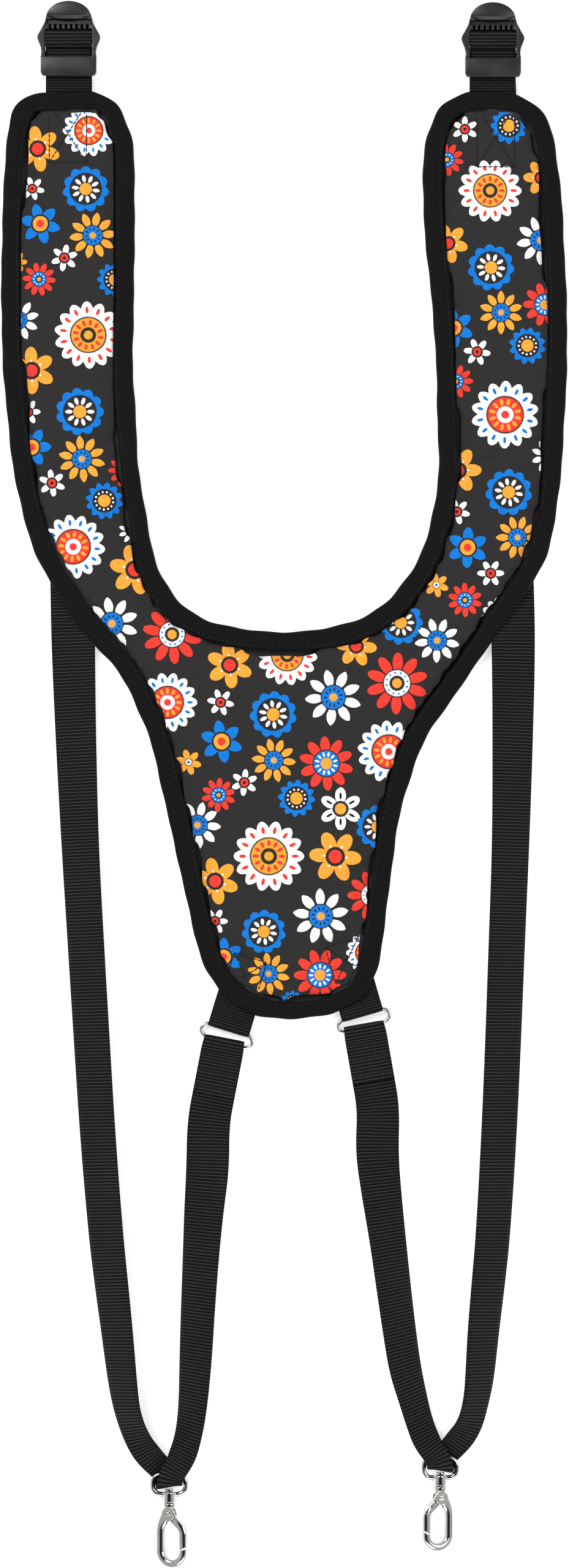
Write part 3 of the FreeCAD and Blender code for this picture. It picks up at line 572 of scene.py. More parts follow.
def print_material():
    """The print: each point draws its share of the flower that its face was told of."""
    m = Nodes("flower_print")

    def fact(name):
        return m.node("ShaderNodeAttribute", attribute_name="flower_" + name).outputs["Vector"]

    def oval(angle, count, q, middle, half_length, half_width, power=2.0):
        """How far inside one of a ring of ovals a point is: above 0 inside."""
        turn = m.div(m.mul(angle, count), 2 * math.pi)
        part = m.sub(m.math("FRACT", m.add(turn, 100.5)), 0.5)
        off = m.div(m.mul(part, 2 * math.pi), m.math("MAXIMUM", count, 1.0))
        beside = m.div(m.math("ABSOLUTE", m.mul(q, m.math("SINE", off))), half_width)
        out = m.sub(m.mul(q, m.math("COSINE", off)), middle)
        ahead = m.div(out, half_length)
        reach = m.add(m.math("POWER", beside, power), m.mul(ahead, ahead))
        return m.sub(1.0, reach)

    def over(level, soft):
        """0 outside and 1 inside, eased across the printed edge."""
        return m.fit(level, -soft, soft)

    def disc(radius_, color, ink):
        """A round spot of the given radius printed over the colour so far."""
        return m.mix(over(m.sub(radius_, q), 0.022), color, ink)

    x, y, _ = m.split(m.position())
    plane = m.vec("MULTIPLY", m.join(x, y, 0.0), (1000.0, 1000.0, 0.0))
    # a little raggedness, as ink takes to a weave
    ragged = m.noise(plane, 1.3, 2.0)
    ragged2 = m.noise(m.vec("ADD", plane, (37.0, 11.0, 0.0)), 1.3, 2.0)
    plane = m.vec("ADD", plane, m.join(m.mul_add(ragged, 0.5, -0.25),
                                       m.mul_add(ragged2, 0.5, -0.25)))
    cx, cy, radius = m.split(fact("place"))
    petals, turn, half = m.split(fact("form"))
    inner, power, _ = m.split(fact("shape"))
    plate_r, core_r, pip_r = m.split(fact("disc"))             # disc, core and pip radius
    dots, dot_ring, _ = m.split(fact("dots"))
    dot_long, dot_wide, _ = m.split(fact("dot_size"))
    flame_mid, flame_long, flame_wide = m.split(fact("flame"))
    px, py, _ = m.split(plane)
    lx = m.sub(px, cx)
    ly = m.sub(py, cy)
    q = m.div(m.vec("LENGTH", m.join(lx, ly, 0.0)), radius)
    angle = m.add(m.math("ARCTAN2", ly, lx), turn)
    middle = m.mul_add(inner, 0.5, 0.5)
    length = m.mul_add(inner, -0.5, 0.5)
    petal = oval(angle, petals, q, middle, length, half, power)
    color = m.mix(over(petal, 0.05), INK["ground"], fact("petal"))
    # a petal's streak
    streak = oval(angle, petals, q, flame_mid, flame_long, flame_wide)
    has_streak = m.math("GREATER_THAN", flame_mid, 0.1)
    color = m.mix(m.mul(over(streak, 0.10), has_streak), color, fact("streak"))
    # the disc with a dark line round it, its dots, its core and pip
    color = disc(m.add(plate_r, 0.045), color, INK["ground"])
    color = disc(plate_r, color, fact("plate"))
    seed = oval(angle, dots, q, dot_ring, dot_long, dot_wide)
    color = m.mix(m.mul(over(seed, 0.2), m.math("GREATER_THAN", dots, 1.0)), color, fact("seed"))
    color = disc(core_r, color, fact("core"))
    pip = m.mul(over(m.sub(pip_r, q), 0.022), m.math("GREATER_THAN", pip_r, 0.01))
    color = m.mix(pip, color, fact("pip"))
    # the weave's relief painted into the colour: painted shade in its grooves, slightly lighter crests, and
    # random fading of the print
    weave = m.mul(sine_ridges(m, x, 0.55), sine_ridges(m, y, 0.55))
    fade = m.noise(m.position(), 420.0, 3.0)
    weave_shade_and_fade = m.mul(m.mul_add(weave, 0.16, 0.90),
                   m.mul_add(fade, 0.5, 0.74))
    color = m.mix(1.0, color, m.join(weave_shade_and_fade, weave_shade_and_fade, weave_shade_and_fade), "MULTIPLY")
    speck = m.fit(m.noise(m.position(), 1700.0, 1.0), 0.73, 0.8)
    color = m.mix(m.mul(speck, 0.18), color, (0.3, 0.3, 0.3))
    m.bump(m.add(weave, m.mul(fade, 0.6)), 0.00022, 0.5)
    return m.set(color=color, rough=0.85, sheen=0.08, sheen_rough=0.5, specular=0.18)


MAT_PRINT = print_material()


def paint(obj, material):
    obj.data.materials.clear()
    obj.data.materials.append(material)
    return obj


def smooth(obj):
    obj.data.polygons.foreach_set("use_smooth", [True] * len(obj.data.polygons))
    return obj


def apply_modifiers(obj):
    depsgraph = bpy.context.evaluated_depsgraph_get()
    mesh = bpy.data.meshes.new_from_object(obj.evaluated_get(depsgraph))
    old = obj.data
    obj.modifiers.clear()
    obj.data = mesh
    bpy.data.meshes.remove(old)
    return obj


def coords(obj):
    co = np.zeros(len(obj.data.vertices) * 3)
    obj.data.vertices.foreach_get("co", co)
    return co.reshape(-1, 3)


def set_coords(obj, co):
    obj.data.vertices.foreach_set("co", np.ascontiguousarray(co, np.float32).ravel())
    obj.data.update()


def soften(node, name, voxel, rounds):
    """A copy of a CAD node's shape with its edges melted round, as moulded and cast parts have."""
    obj = link(name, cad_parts[node].data.copy())
    m = obj.modifiers.new("remesh", "REMESH")
    m.mode = "VOXEL"
    m.voxel_size = voxel * MM
    m = obj.modifiers.new("smooth", "SMOOTH")
    m.factor = 0.5
    m.iterations = rounds
    return smooth(apply_modifiers(obj))


# ---- outline of the pad, counter-clockwise from the top of the left arm ----
LEFT_OUTER = [(-119, 383), (-131.5, 382.8), (-141.7, 381), (-148.8, 374.3), (-153.2, 359.8),
              (-155, 334.5), (-156.3, 304), (-156.8, 277), (-156.3, 243), (-154.2, 213),
              (-151.2, 182.4), (-145.8, 152), (-136, 123.3), (-123.1, 101.4), (-106.3, 77.7),
              (-90.7, 59.5), (-80.6, 39), (-72.8, 18.6), (-67, -6.8), (-61, -33.8),
              (-55.2, -60.8), (-49.2, -86), (-43, -104), (-35, -115.5), (-22, -125)]
BOTTOM = [(-4, -130.5), (13.7, -129.7), (28.2, -126.4), (42.4, -119), (49.5, -108.8)]
RIGHT_OUTER = [(53.2, -93), (56.9, -67.6), (61.3, -33.8), (66.7, -6.8), (74.2, 16.2),
               (83.6, 33.8), (97.8, 54), (112, 74.3), (126.2, 95.3), (137.7, 111.5),
               (147, 133.4), (152, 162), (154.6, 192.6), (155.9, 223), (156.3, 253.4),
               (155.2, 290.5), (153.2, 324.3), (148.8, 356.4), (141.7, 371.6), (130.2, 380.7),
               (115, 383), (101.5, 382.4), (90.4, 378.4), (82.3, 370), (77.9, 354.7)]
INNER = [(76.2, 331), (77.9, 297.3), (80.9, 267), (83.3, 236.5), (84.3, 206), (84.6, 172.3),
         (80.9, 147), (72.8, 123.3), (57.5, 102), (35.6, 89.5), (12, 85), (-13.3, 85),
         (-38.5, 89.5), (-58, 101), (-69.8, 120), (-75.8, 147), (-79.9, 172.3), (-82.3, 206),
         (-83.6, 236.5), (-82.8, 267), (-82.6, 297.3), (-82.6, 331), (-84, 354.7),
         (-88.7, 371), (-96, 379.4), (-106.3, 382.8)]
OUTLINE = np.array(LEFT_OUTER + BOTTOM + RIGHT_OUTER + INNER, float)


def closed_curve(points, per_span):
    """Smooth closed curve through the points, with inward normals."""
    poles = points.copy()
    for _ in range(40):
        poles = (6 * points - np.roll(poles, 1, 0) - np.roll(poles, -1, 0)) / 4.0
    a, b, c, d = np.roll(poles, 1, 0), poles, np.roll(poles, -1, 0), np.roll(poles, -2, 0)
    at, way = [], []
    for k in range(per_span):
        t = k / per_span
        at.append((1 - t) ** 3 / 6 * a + (3 * t ** 3 - 6 * t ** 2 + 4) / 6 * b
                  + (-3 * t ** 3 + 3 * t ** 2 + 3 * t + 1) / 6 * c + t ** 3 / 6 * d)
        way.append(-(1 - t) ** 2 / 2 * a + (3 * t ** 2 - 4 * t) / 2 * b
                   + (-3 * t ** 2 + 2 * t + 1) / 2 * c + t ** 2 / 2 * d)
    at = np.stack(at, 1).reshape(-1, 2)
    way = unit(np.stack(way, 1).reshape(-1, 2))
    return at, np.stack([-way[:, 1], way[:, 0]], 1)


def evenly(at, normal, step):
    """The same closed curve at an even spacing of about step."""
    gap = np.linalg.norm(np.roll(at, -1, 0) - at, axis=1)
    s = np.concatenate([[0], np.cumsum(gap)])
    n = int(s[-1] / step)
    t = np.arange(n) * s[-1] / n
    x = np.stack([np.interp(t, s, np.append(at[:, k], at[0, k])) for k in (0, 1)], 1)
    w = unit(np.stack([np.interp(t, s, np.append(normal[:, k], normal[0, k])) for k in (0, 1)], 1))
    return x, w, t


RIM, RIM_IN, RIM_S = evenly(*closed_curve(OUTLINE, 16), 1.5)


def rim_bend():
    """How sharply the rim turns, from 0 on straight runs to 1 on tight curves."""
    way = unit(np.roll(RIM, -4, 0) - np.roll(RIM, 4, 0))
    turn = np.abs(np.cross(np.roll(way, 4, 0), np.roll(way, -4, 0))) / 12.0
    for _ in range(30):
        turn = (turn + np.roll(turn, 1) + np.roll(turn, -1)) / 3.0
    return np.clip(turn / 0.02, 0, 1)


BEND = rim_bend()


def rim_distance(p):
    """Distance of plan points to the rim of the pad, and how far along the rim they are."""
    near = np.empty(len(p))
    where = np.empty(len(p))
    for i in range(0, len(p), 800):
        d = np.linalg.norm(p[i:i + 800, None, :] - RIM[None, :, :], axis=2)
        k = d.argmin(1)
        near[i:i + 800] = d[np.arange(len(k)), k]
        where[i:i + 800] = RIM_S[k]
    return near, where


def step_up(x, a, b):
    t = np.clip((x - a) / (b - a), 0, 1)
    return t * t * (3 - 2 * t)


# where straps and tabs run under the pad: two plan ends, half width, how far they lift it
PASSAGES = []
for s in SIDES.values():
    o = s["outer"]
    PASSAGES.append((Vector((o[0][0], 415)), Vector((o[4][0], 60)), 15.2, 1.9))
    PASSAGES.append((Vector((s["buckle"][0], 415)), Vector((s["buckle"][0], 340)), 15.2, 4.0))
    mid = ring_bar(s, 1)
    far = mid + along(s["ring_tilt"]) * 45.5
    near = mid - along(s["ring_tilt"]) * 12
    PASSAGES.append((near.xy, far.xy, 12.6, 2.7))


def lift(p):
    """How high the underside is raised over the straps and tabs that run beneath the pad."""
    high = np.zeros(len(p))
    for a, b, half, top in PASSAGES:
        d = np.array(b - a)
        length = np.linalg.norm(d)
        d = d / length
        rel = p - np.array(a)
        along_it = rel @ d
        beside = np.abs(rel @ np.array([-d[1], d[0]]))
        over = np.maximum(beside - half, np.maximum(-along_it, along_it - length))
        high = np.maximum(high, top * (1 - step_up(over, 0.0, 1.6)))
    return high


# box stitches: centre, half width, half length, turn in degrees
BOXES = [((-119.5, 359.0), 10.3, 16.0, 0.0), ((116.6, 357.0), 10.3, 16.5, 0.0)]
for s in SIDES.values():
    mid = Vector((s["ring"][0], s["ring"][1], 0)) + along(s["ring_tilt"]) * 34.5
    BOXES.append(((mid.x, mid.y), 9.4, 10.5, s["ring_tilt"]))


def box_lines(box):
    """The six rows of stitches of a box: its four sides and the two diagonals."""
    (x, y), w, h, turn = box
    a = math.radians(turn)
    corner = []
    for i, j in ((-1, -1), (1, -1), (1, 1), (-1, 1)):
        corner.append(Vector((x + i * w * math.cos(a) - j * h * math.sin(a),
                              y + i * w * math.sin(a) + j * h * math.cos(a))))
    pairs = [(0, 1), (1, 2), (2, 3), (3, 0), (0, 2), (1, 3)]
    return [(corner[i], corner[j]) for i, j in pairs]


def stitch_dip(p):
    """How close each plan point is to a row of stitches, from 0 to 1."""
    best = np.full(len(p), NO_LINE)
    for box in BOXES:
        for a, b in box_lines(box):
            d = np.array(b - a)
            length = np.linalg.norm(d)
            rel = p - np.array(a)
            t = np.clip(rel @ d / length ** 2, 0, 1)
            best = np.minimum(best, np.linalg.norm(rel - t[:, None] * d, axis=1))
    return np.exp(-(best / 2.2) ** 2)


def box_flat(p):
    """1 inside the box stitches, where the padding is sewn down, easing to 0 outside."""
    flat = np.zeros(len(p))
    for (x, y), w, h, turn in BOXES:
        a = math.radians(turn)
        rel = p - np.array([x, y])
        u = np.abs(rel @ np.array([math.cos(a), math.sin(a)])) - w
        v = np.abs(rel @ np.array([-math.sin(a), math.cos(a)])) - h
        flat = np.maximum(flat, 1 - step_up(np.maximum(u, v), -3.0, 5.0))
    return flat


def wave_noise(p, size, seed):
    """Smooth unhurried variation from a few fixed waves, about -1 to 1."""
    total = np.zeros(len(p))
    for k in range(5):
        a = seed * 1.7 + k * 2.399
        f = 2 * math.pi / (size * (0.7 + 0.22 * k))
        total += np.sin((p[:, 0] * math.cos(a) + p[:, 1] * math.sin(a)) * f + seed * 3.1 + k * 1.3)
    return total / 3.0


def plan_mesh(insets, spacing):
    """Plan points that fill the pad inside the first inset, and triangles between them."""
    pts, edges = [], []
    for d in insets:
        moved = RIM + RIM_IN * d
        dist, _ = rim_distance(moved)
        keep = moved[dist > d - 0.15][::1 if d < 14 else 2]
        if not pts:
            edges = [(i, (i + 1) % len(keep)) for i in range(len(keep))]
        pts += [tuple(q) for q in keep]
    low, high = RIM.min(0), RIM.max(0)
    row = spacing * 0.866                  # rows of an even triangular grid
    rows, cols = int((high[1] - low[1]) / row), int((high[0] - low[0]) / spacing)
    grid = np.array([(low[0] + (i + 0.5 * (j % 2)) * spacing, low[1] + j * spacing * 0.866)
                     for j in range(rows) for i in range(cols)])
    dist, _ = rim_distance(grid)
    pts += [tuple(q) for q in grid[inside_rim(grid) & (dist > insets[-1] + spacing * 0.55)]]
    out = delaunay_2d_cdt([Vector(q) for q in pts], edges, [], 1, 1e-5)
    return np.array([tuple(v) for v in out[0]]), [tuple(f) for f in out[2]]


def inside_rim(p):
    """Which plan points lie inside the pad's outline."""
    a, b = RIM, np.roll(RIM, -1, 0)
    found = np.zeros(len(p), bool)
    for i in range(len(a)):
        cross = (a[i, 1] > p[:, 1]) != (b[i, 1] > p[:, 1])
        if not cross.any():
            continue
        x = (b[i, 0] - a[i, 0]) * (p[:, 1] - a[i, 1]) / (b[i, 1] - a[i, 1]) + a[i, 0]
        found ^= cross & (p[:, 0] < x)
    return found


# ---- the padded face ----
def face_height(dist):
    """Height of the padded face at a distance from the rim: low at the binding, full further in."""
    return 4.9 + 3.3 * step_up(dist, 8.0, 17.0) + 0.35 * step_up(dist, 15.0, 30.0)


FLAT, TRIS = plan_mesh([6.6, 8.4, 10.4, 12.4, 15.0, 18.5], 4.2)


def cushion_shape():
    """Closed cushion: face on top, underside a little above the lining. Slack enough to swell."""
    top = face_height(rim_distance(FLAT)[0]) - 0.9
    under = np.minimum(1.9 + lift(FLAT) * 0.75, top - 1.2)
    sides = dict.fromkeys((f[i], f[(i + 1) % 3]) for f in TRIS for i in range(3))
    n = len(FLAT)
    verts = [(x * MM, y * MM, z * MM) for high in (top, under) for (x, y), z in zip(FLAT, high)]
    faces = list(TRIS) + [(f[2] + n, f[1] + n, f[0] + n) for f in TRIS]
    faces += [(a, a + n, b + n, b) for a, b in sides if (b, a) not in sides]
    mesh = bpy.data.meshes.new("pad_face")
    mesh.from_pydata(verts, [], faces)
    obj = link("pad_face", mesh)
    bm = bmesh.new()
    bm.from_mesh(mesh)
    bmesh.ops.recalc_face_normals(bm, faces=bm.faces)
    bm.to_mesh(mesh)
    bm.free()
    return obj


SWELL_FRAMES = 20


def swell(obj, voxel, cap):
    """Lets the cushion swell as cloth round its filling, held at rim and stitches; voxel and cap in mm."""
    m = obj.modifiers.new("remesh", "REMESH")
    m.mode = "VOXEL"
    m.voxel_size = voxel * MM
    apply_modifiers(obj)
    start = coords(obj)
    dist, _ = rim_distance(start[:, :2] / MM)
    held = obj.vertex_groups.new(name="held")
    dip = np.maximum(stitch_dip(start[:, :2] / MM), 1 - step_up(dist, 10.5, 13.0))
    for i in np.nonzero(dip > 0.5)[0]:
        held.add([int(i)], 1.0, "REPLACE")
    cloth = obj.modifiers.new("cloth", "CLOTH")
    for key, value in (("quality", 5), ("mass", 0.2), ("use_pressure", True), ("uniform_pressure_force", 4.0),
                       ("tension_stiffness", 8.0), ("compression_stiffness", 8.0),
                       ("bending_stiffness", 0.25), ("shrink_min", -0.035), ("vertex_group_mass", "held")):
        setattr(cloth.settings, key, value)
    cloth.settings.effector_weights.gravity = 0.0
    cloth.collision_settings.use_collision = False
    cloth.point_cache.frame_start = 1
    cloth.point_cache.frame_end = SWELL_FRAMES
    for frame_number in range(1, SWELL_FRAMES + 1):
        scene.frame_set(frame_number)
    apply_modifiers(obj)
    now = coords(obj)
    moved = now - start
    length = np.linalg.norm(moved, axis=1, keepdims=True)
    moved *= np.minimum(1.0, cap * MM / np.maximum(length, 1e-9))
    set_coords(obj, start + moved)
    scene.frame_set(1)
    m = obj.modifiers.new("finer", "SUBSURF")
    m.levels = 2
    m.render_levels = 2
    apply_modifiers(obj)


def settle(obj):
    """Sinks the stitched parts, puckers the cloth by the binding, and keeps it between rim and floor."""
    co = coords(obj)
    plan = co[:, :2] / MM
    dist, where = rim_distance(plan)
    facing = np.zeros(co.size)
    obj.data.vertices.foreach_get("normal", facing)
    top_side = facing.reshape(-1, 3)[:, 2] > 0.0
    drop = 1.5 * box_flat(plan) + 0.9 * stitch_dip(plan)
    pucker = np.sin(where / 2.1) * 0.6 + np.sin(where / 3.7 + 1.0) * 0.5
    drop += 0.45 * np.exp(-((dist - 12.0) / 4.0) ** 2) * pucker
    drop -= 0.35 * wave_noise(plan, 62.0, 2.0) * step_up(dist, 14, 30)
    co[top_side, 2] -= (drop[top_side] * MM)
    lid = face_height(dist) * MM + 0.9 * MM
    tucked = 5.15 * MM                     # the highest it may be where the binding folds over it
    limit = tucked + (lid - tucked) * step_up(dist, 10.2, 12.5)
    co[:, 2] = np.minimum(co[:, 2], limit)
    floor_z = (1.35 + lift(plan) * 1.0) * MM
    co[:, 2] = np.where(top_side, np.maximum(co[:, 2], floor_z + 0.9 * MM),
                        np.clip(co[:, 2], floor_z, floor_z + 0.5 * MM))
    co[:, 2] = np.minimum(co[:, 2], limit)
    set_coords(obj, co)


face = cushion_shape()
swell(face, 5.0, 2.4)
settle(face)
sow_flowers(face)
smooth(paint(face, MAT_PRINT))
FACE_TREE = BVHTree.FromObject(face, bpy.context.evaluated_depsgraph_get())


# ---- binding and lining ----
WANDER = 0.35 * np.sin(RIM_S / 17.0) + 0.25 * np.sin(RIM_S / 41.0 + 2.0)     # of the binding's inner edge


def binding():
    """Folded tape round the rim, slightly gathered, its inner edges stitched down."""
    n = len(RIM)
    # (inset, height, rides on the underside lift, gathers): outside of the fold, then its inside
    profile = [(10.6, 0.55, 1, 0.2), (10.5, 0.0, 1, 0.2), (8.0, -0.02, 1, 0), (4.0, 0.0, 1, 0),
               (1.6, 0.05, 1, 0), (0.5, 0.5, 1, 0), (0.08, 1.4, 0.8, 0), (0.0, 3.0, 0.3, 0), (0.1, 4.5, 0, 0),
               (0.6, 5.6, 0, 0),
               (1.6, 6.15, 0, 0.1), (3.4, 6.35, 0, 0.35), (5.4, 6.5, 0, 0.6), (7.4, 6.55, 0, 0.9),
               (8.3, 6.42, 0, 1.0), (8.9, 6.05, 0, 1.0), (9.3, 6.35, 0, 1.2), (9.9, 6.75, 0, 1.4),
               (10.5, 6.55, 0, 1.4), (10.6, 5.9, 0, 1.2), (9.0, 5.25, 0, 0.6), (4.0, 5.3, 0, 0.2),
               (1.4, 4.9, 0, 0), (0.8, 3.0, 0.4, 0), (1.4, 1.0, 1, 0), (5.0, 0.62, 1, 0)]
    gather = 0.20 * np.sin(RIM_S / 1.55) + 0.26 * np.sin(RIM_S / 2.83 + 0.7) + 0.22 * np.sin(RIM_S / 6.1)
    gather *= 0.8 + 1.3 * BEND
    uneven = 0.22 * np.sin(RIM_S / 3.3 + 0.4) + 0.25 * np.sin(RIM_S / 7.7) + 0.2 * np.sin(RIM_S / 19.0 + 1.0)
    rows = []
    for inset_by, z, on_lift, pucker in profile:
        d = inset_by + (WANDER if inset_by > 8.2 and z > 5 else 0.0)
        d = d + (uneven + 0.3) * max(0.0, 1 - inset_by / 7.0) * (0.6 + BEND)
        at = RIM + RIM_IN * (d + pucker * 0.22 * gather)[:, None]
        high = z + on_lift * lift(at) * min(1.0, on_lift) + pucker * 0.55 * gather
        rows.append(np.column_stack([at, high]) * MM)
    m = len(rows)
    verts = np.concatenate(rows)
    length = [0.0]
    for a, b in zip(profile[:-1], profile[1:]):
        length.append(length[-1] + math.hypot(a[0] - b[0], a[1] - b[1]) * MM)
    faces = []
    for k in range(m):
        for i in range(n):
            j = (i + 1) % n
            q = (k + 1) % m
            faces.append((k * n + i, k * n + j, q * n + j, q * n + i))
    mesh = bpy.data.meshes.new("pad_binding")
    mesh.from_pydata([tuple(v) for v in verts], [], faces)
    uv = mesh.uv_layers.new(name="UVMap")
    total = RIM_S[-1] + 1.5
    for f, poly in enumerate(mesh.polygons):
        k, i = divmod(f, n)
        s0, s1 = RIM_S[i] * MM, (RIM_S[i + 1] if i + 1 < n else total) * MM
        l0, l1 = length[k], (length[k + 1] if k + 1 < m else length[k] + 0.006)
        for li, value in zip(poly.loop_indices, ((s0, l0), (s1, l0), (s1, l1), (s0, l1))):
            uv.data[li].uv = value
    return smooth(paint(link("pad_binding", mesh), MAT_BIND))


bind = binding()


def lining():
    """Lining under the padding, following the hollows over the straps."""
    under = 0.75 + lift(FLAT) * 0.97 + 0.08 * wave_noise(FLAT, 30.0, 5.0)
    n = len(FLAT)
    verts = [(x * MM, y * MM, z * MM) for high in (under, under + 0.4) for (x, y), z in zip(FLAT, high)]
    faces = [(f[2], f[1], f[0]) for f in TRIS] + [(f[0] + n, f[1] + n, f[2] + n) for f in TRIS]
    mesh = bpy.data.meshes.new("pad_lining")
    mesh.from_pydata(verts, [], faces)
    return smooth(paint(link("pad_lining", mesh), MAT_LINING))


under_cloth = lining()


# ---- stitching ----
def thread_bits(name, bits, radius):
    """Short raised stitches: each bit is (start, end, up) in metres."""
    verts, faces = [], []
    for a, b, up in bits:
        a, b = Vector(a), Vector(b)
        ahead = (b - a).normalized()
        side = ahead.cross(up).normalized()
        top = side.cross(ahead).normalized()
        start = len(verts)
        # (share of the way, size, rise)
        hoops = [(0.0, 0.25, -0.5), (0.12, 0.8, 0.1), (0.5, 1.0, 0.42), (0.88, 0.8, 0.1), (1.0, 0.25, -0.5)]
        for t, size, rise in hoops:
            c = a.lerp(b, t) + top * radius * rise
            for k in range(6):
                g = math.pi * k / 3
                out = side * math.cos(g) * radius * size
                verts.append(tuple(c + out + top * math.sin(g) * radius * size * 0.8))
        for r in range(len(hoops) - 1):
            for k in range(6):
                q = (k + 1) % 6
                at = start + r * 6
                faces.append((at + k, at + q, at + 6 + q, at + 6 + k))
        faces.append(tuple(start + k for k in range(5, -1, -1)))
        faces.append(tuple(start + (len(hoops) - 1) * 6 + k for k in range(6)))
    mesh = bpy.data.meshes.new(name)
    mesh.from_pydata(verts, [], faces)
    return smooth(paint(link(name, mesh), MAT_THREAD))


def on_face(p):
    """The point of the padded face straight below a plan point, and its normal."""
    hit = FACE_TREE.ray_cast(Vector((p[0] * MM, p[1] * MM, 0.05)), Vector((0, 0, -1)))
    return hit[0], hit[1]


bits = []
for box in BOXES:
    for a, b in box_lines(box):
        length = (b - a).length
        count = max(2, int(length / 2.6))
        for i in range(count):
            q0 = a.lerp(b, (i + 0.03) / count)
            q1 = a.lerp(b, (i + 0.97) / count)
            h0, n0 = on_face(q0)
            h1, n1 = on_face(q1)
            if h0 is not None and h1 is not None:
                bits.append((h0 + n0 * 0.1 * MM, h1 + n1 * 0.1 * MM, n0))
box_thread = thread_bits("box_stitches", bits, 0.30 * MM)

bits = []
STITCH_Z = 6.12 * MM                       # in the groove near the binding's inner edge
at = RIM + RIM_IN * (8.95 + WANDER)[:, None]
for i in range(0, len(at) - 2, 2):
    a, b = at[i], at[(i + 2) % len(at)]
    c = a + (b - a) * 0.84
    bits.append(((a[0] * MM, a[1] * MM, STITCH_Z), (c[0] * MM, c[1] * MM, STITCH_Z), Vector((0, 0, 1))))
rim_thread = thread_bits("rim_stitches", bits, 0.26 * MM)


# ---- webbing tabs, laced webbing ----
def strip_from(name, points, side, material):
    """Webbing along control points with one straight direction across it."""
    centre = nurbs(points)
    return paint(ribbon(name, centre, centre + np.array(side) * MM, TAB_T), material)


tabs, laced = {}, {}
for name, s in SIDES.items():
    x, top = s["buckle"]
    bar = top - 29.3                       # the buckle's lower bar, which the tab goes round
    path = [(342, 2.1), (380, 2.1), (bar - 4, 2.05), (bar + 1.2, 1.9), (bar + 2.9, 2.6), (bar + 2.9, 5.4),
            (bar + 0.2, 6.4), (bar - 3.4, 5.2), (bar - 8, 3.5), (bar - 14, 3.35), (342, 3.3)]
    path = [(x, y, z) for y, z in path]
    tabs["buckle_tab_" + name] = strip_from("tab_buckle_" + name, path, (12.75, 0, 0), MAT_TAB)
    u, d = top - 25.0, top - 16.45         # where the webbing comes up and where it goes down again
    path = [(u - 2.0, 0.62), (u - 0.8, 0.62), (u, 1.1), (u, 4.0), (u, 6.6), (u + 0.7, 7.25), ((u + d) / 2, 7.3),
            (d - 0.7, 7.25), (d, 6.6), (d, 4.0), (d, 1.3), (d + 0.9, 0.9), (top - 11.5, 1.1), (top - 9.8, 1.2)]
    path = [(x, y, z) for y, z in path]
    laced[name] = strip_from("webbing_laced_" + name, path, (12.85, 0, 0), MAT_WEB)

    path = []
    # (distance above the ring's upper bar, height)
    for a, z in ((44.5, 0.62), (20, 0.62), (8, 0.62), (0.8, 0.4), (-1.85, 0.8), (-1.85, 4.4), (0.6, 5.3),
                 (3.6, 4.3), (7.5, 2.2), (14, 1.85), (30, 1.85), (44.5, 1.85)):
        q = ring_bar(s, 1) + along(s["ring_tilt"]) * a
        path.append((q.x, q.y, z))
    side = across(s["ring_tilt"]) * 11.8
    tabs["ring_tab_" + name] = strip_from("tab_ring_" + name, path, tuple(side), MAT_TAB)

for strap in straps.values():
    paint(strap, MAT_WEB)

# bar tacks on the doubled strap ends
TACK_Z = 2.48 * MM
tacks = {}
for name, s in SIDES.items():
    ahead, side = along(s["end_tilt"]), across(s["end_tilt"])
    bits = []
    for back in (15.5, 24.5):
        for row in range(3):
            for i in range(36):
                a = end_start(s) - ahead * (back + row * 0.62) + side * (-11.0 + i * 0.62)
                b = a + side * 0.55 + ahead * (0.7 if i % 2 else -0.7)
                bits.append(((a.x * MM, a.y * MM, TACK_Z), (b.x * MM, b.y * MM, TACK_Z), Vector((0, 0, 1))))
    tacks[name] = thread_bits("bar_tacks_" + name, bits, 0.24 * MM)


# ---- rings ----
rings = {}
for name, s in SIDES.items():
    line = bpy.data.curves.new("ring_" + name, "CURVE")
    line.dimensions = "3D"
    spline = line.splines.new("POLY")
    pts = []
    for k in range(96):
        a = 2 * math.pi * k / 96
        c, q = math.cos(a), math.sin(a)
        pts.append((math.copysign(abs(c) ** 0.55, c) * 14.6, math.copysign(abs(q) ** 0.9, q) * RING_BAR))
    spline.points.add(len(pts) - 1)
    side, up = across(s["ring_tilt"]), along(s["ring_tilt"])
    for p, (a, b) in zip(spline.points, pts):
        at = Vector((s["ring"][0], s["ring"][1], RING_Z)) + side * a + up * b
        p.co = (at.x * MM, at.y * MM, at.z * MM, 1)
    spline.use_cyclic_u = True
    line.bevel_depth = 1.1 * MM
    line.bevel_resolution = 6
    obj = bpy.data.objects.new("ring_wire_" + name, line)
    scene.collection.objects.link(obj)
    mesh = bpy.data.meshes.new_from_object(obj)
    bpy.data.objects.remove(obj)
    rings[name] = smooth(paint(link("ring_wire_" + name, mesh), MAT_RING))


# ---- buckles and hooks: the CAD shapes with moulded and cast edges ----
HOOK_Z, HOOK_ROLL = 5.0, 20.0          # height of the hook's long axis and its roll, as in the CAD model
RIVET_Y, LOOP_X, LOOP_Y, LOOP_R, LOOP_WALL = -21.4, 1.6, -42.4, 6.7, 4.2


def hook_frame(p, s):
    """Millimetre points in the hook's own frame: long axis along Y, gate towards +X, flat face up."""
    a = math.radians(-HOOK_ROLL * s["out"])
    x, y, z = p[:, 0] - s["hook"][0], p[:, 1] - s["hook"][1], p[:, 2] - HOOK_Z
    return np.column_stack([(x * math.cos(a) - z * math.sin(a)) * s["out"], y,
                            x * math.sin(a) + z * math.cos(a)])


def from_hook_frame(q, s):
    """The way back from hook_frame."""
    a = math.radians(-HOOK_ROLL * s["out"])
    x, y, z = q[:, 0] * s["out"], q[:, 1], q[:, 2]
    return np.column_stack([x * math.cos(a) + z * math.sin(a) + s["hook"][0], y + s["hook"][1],
                            -x * math.sin(a) + z * math.cos(a) + HOOK_Z])


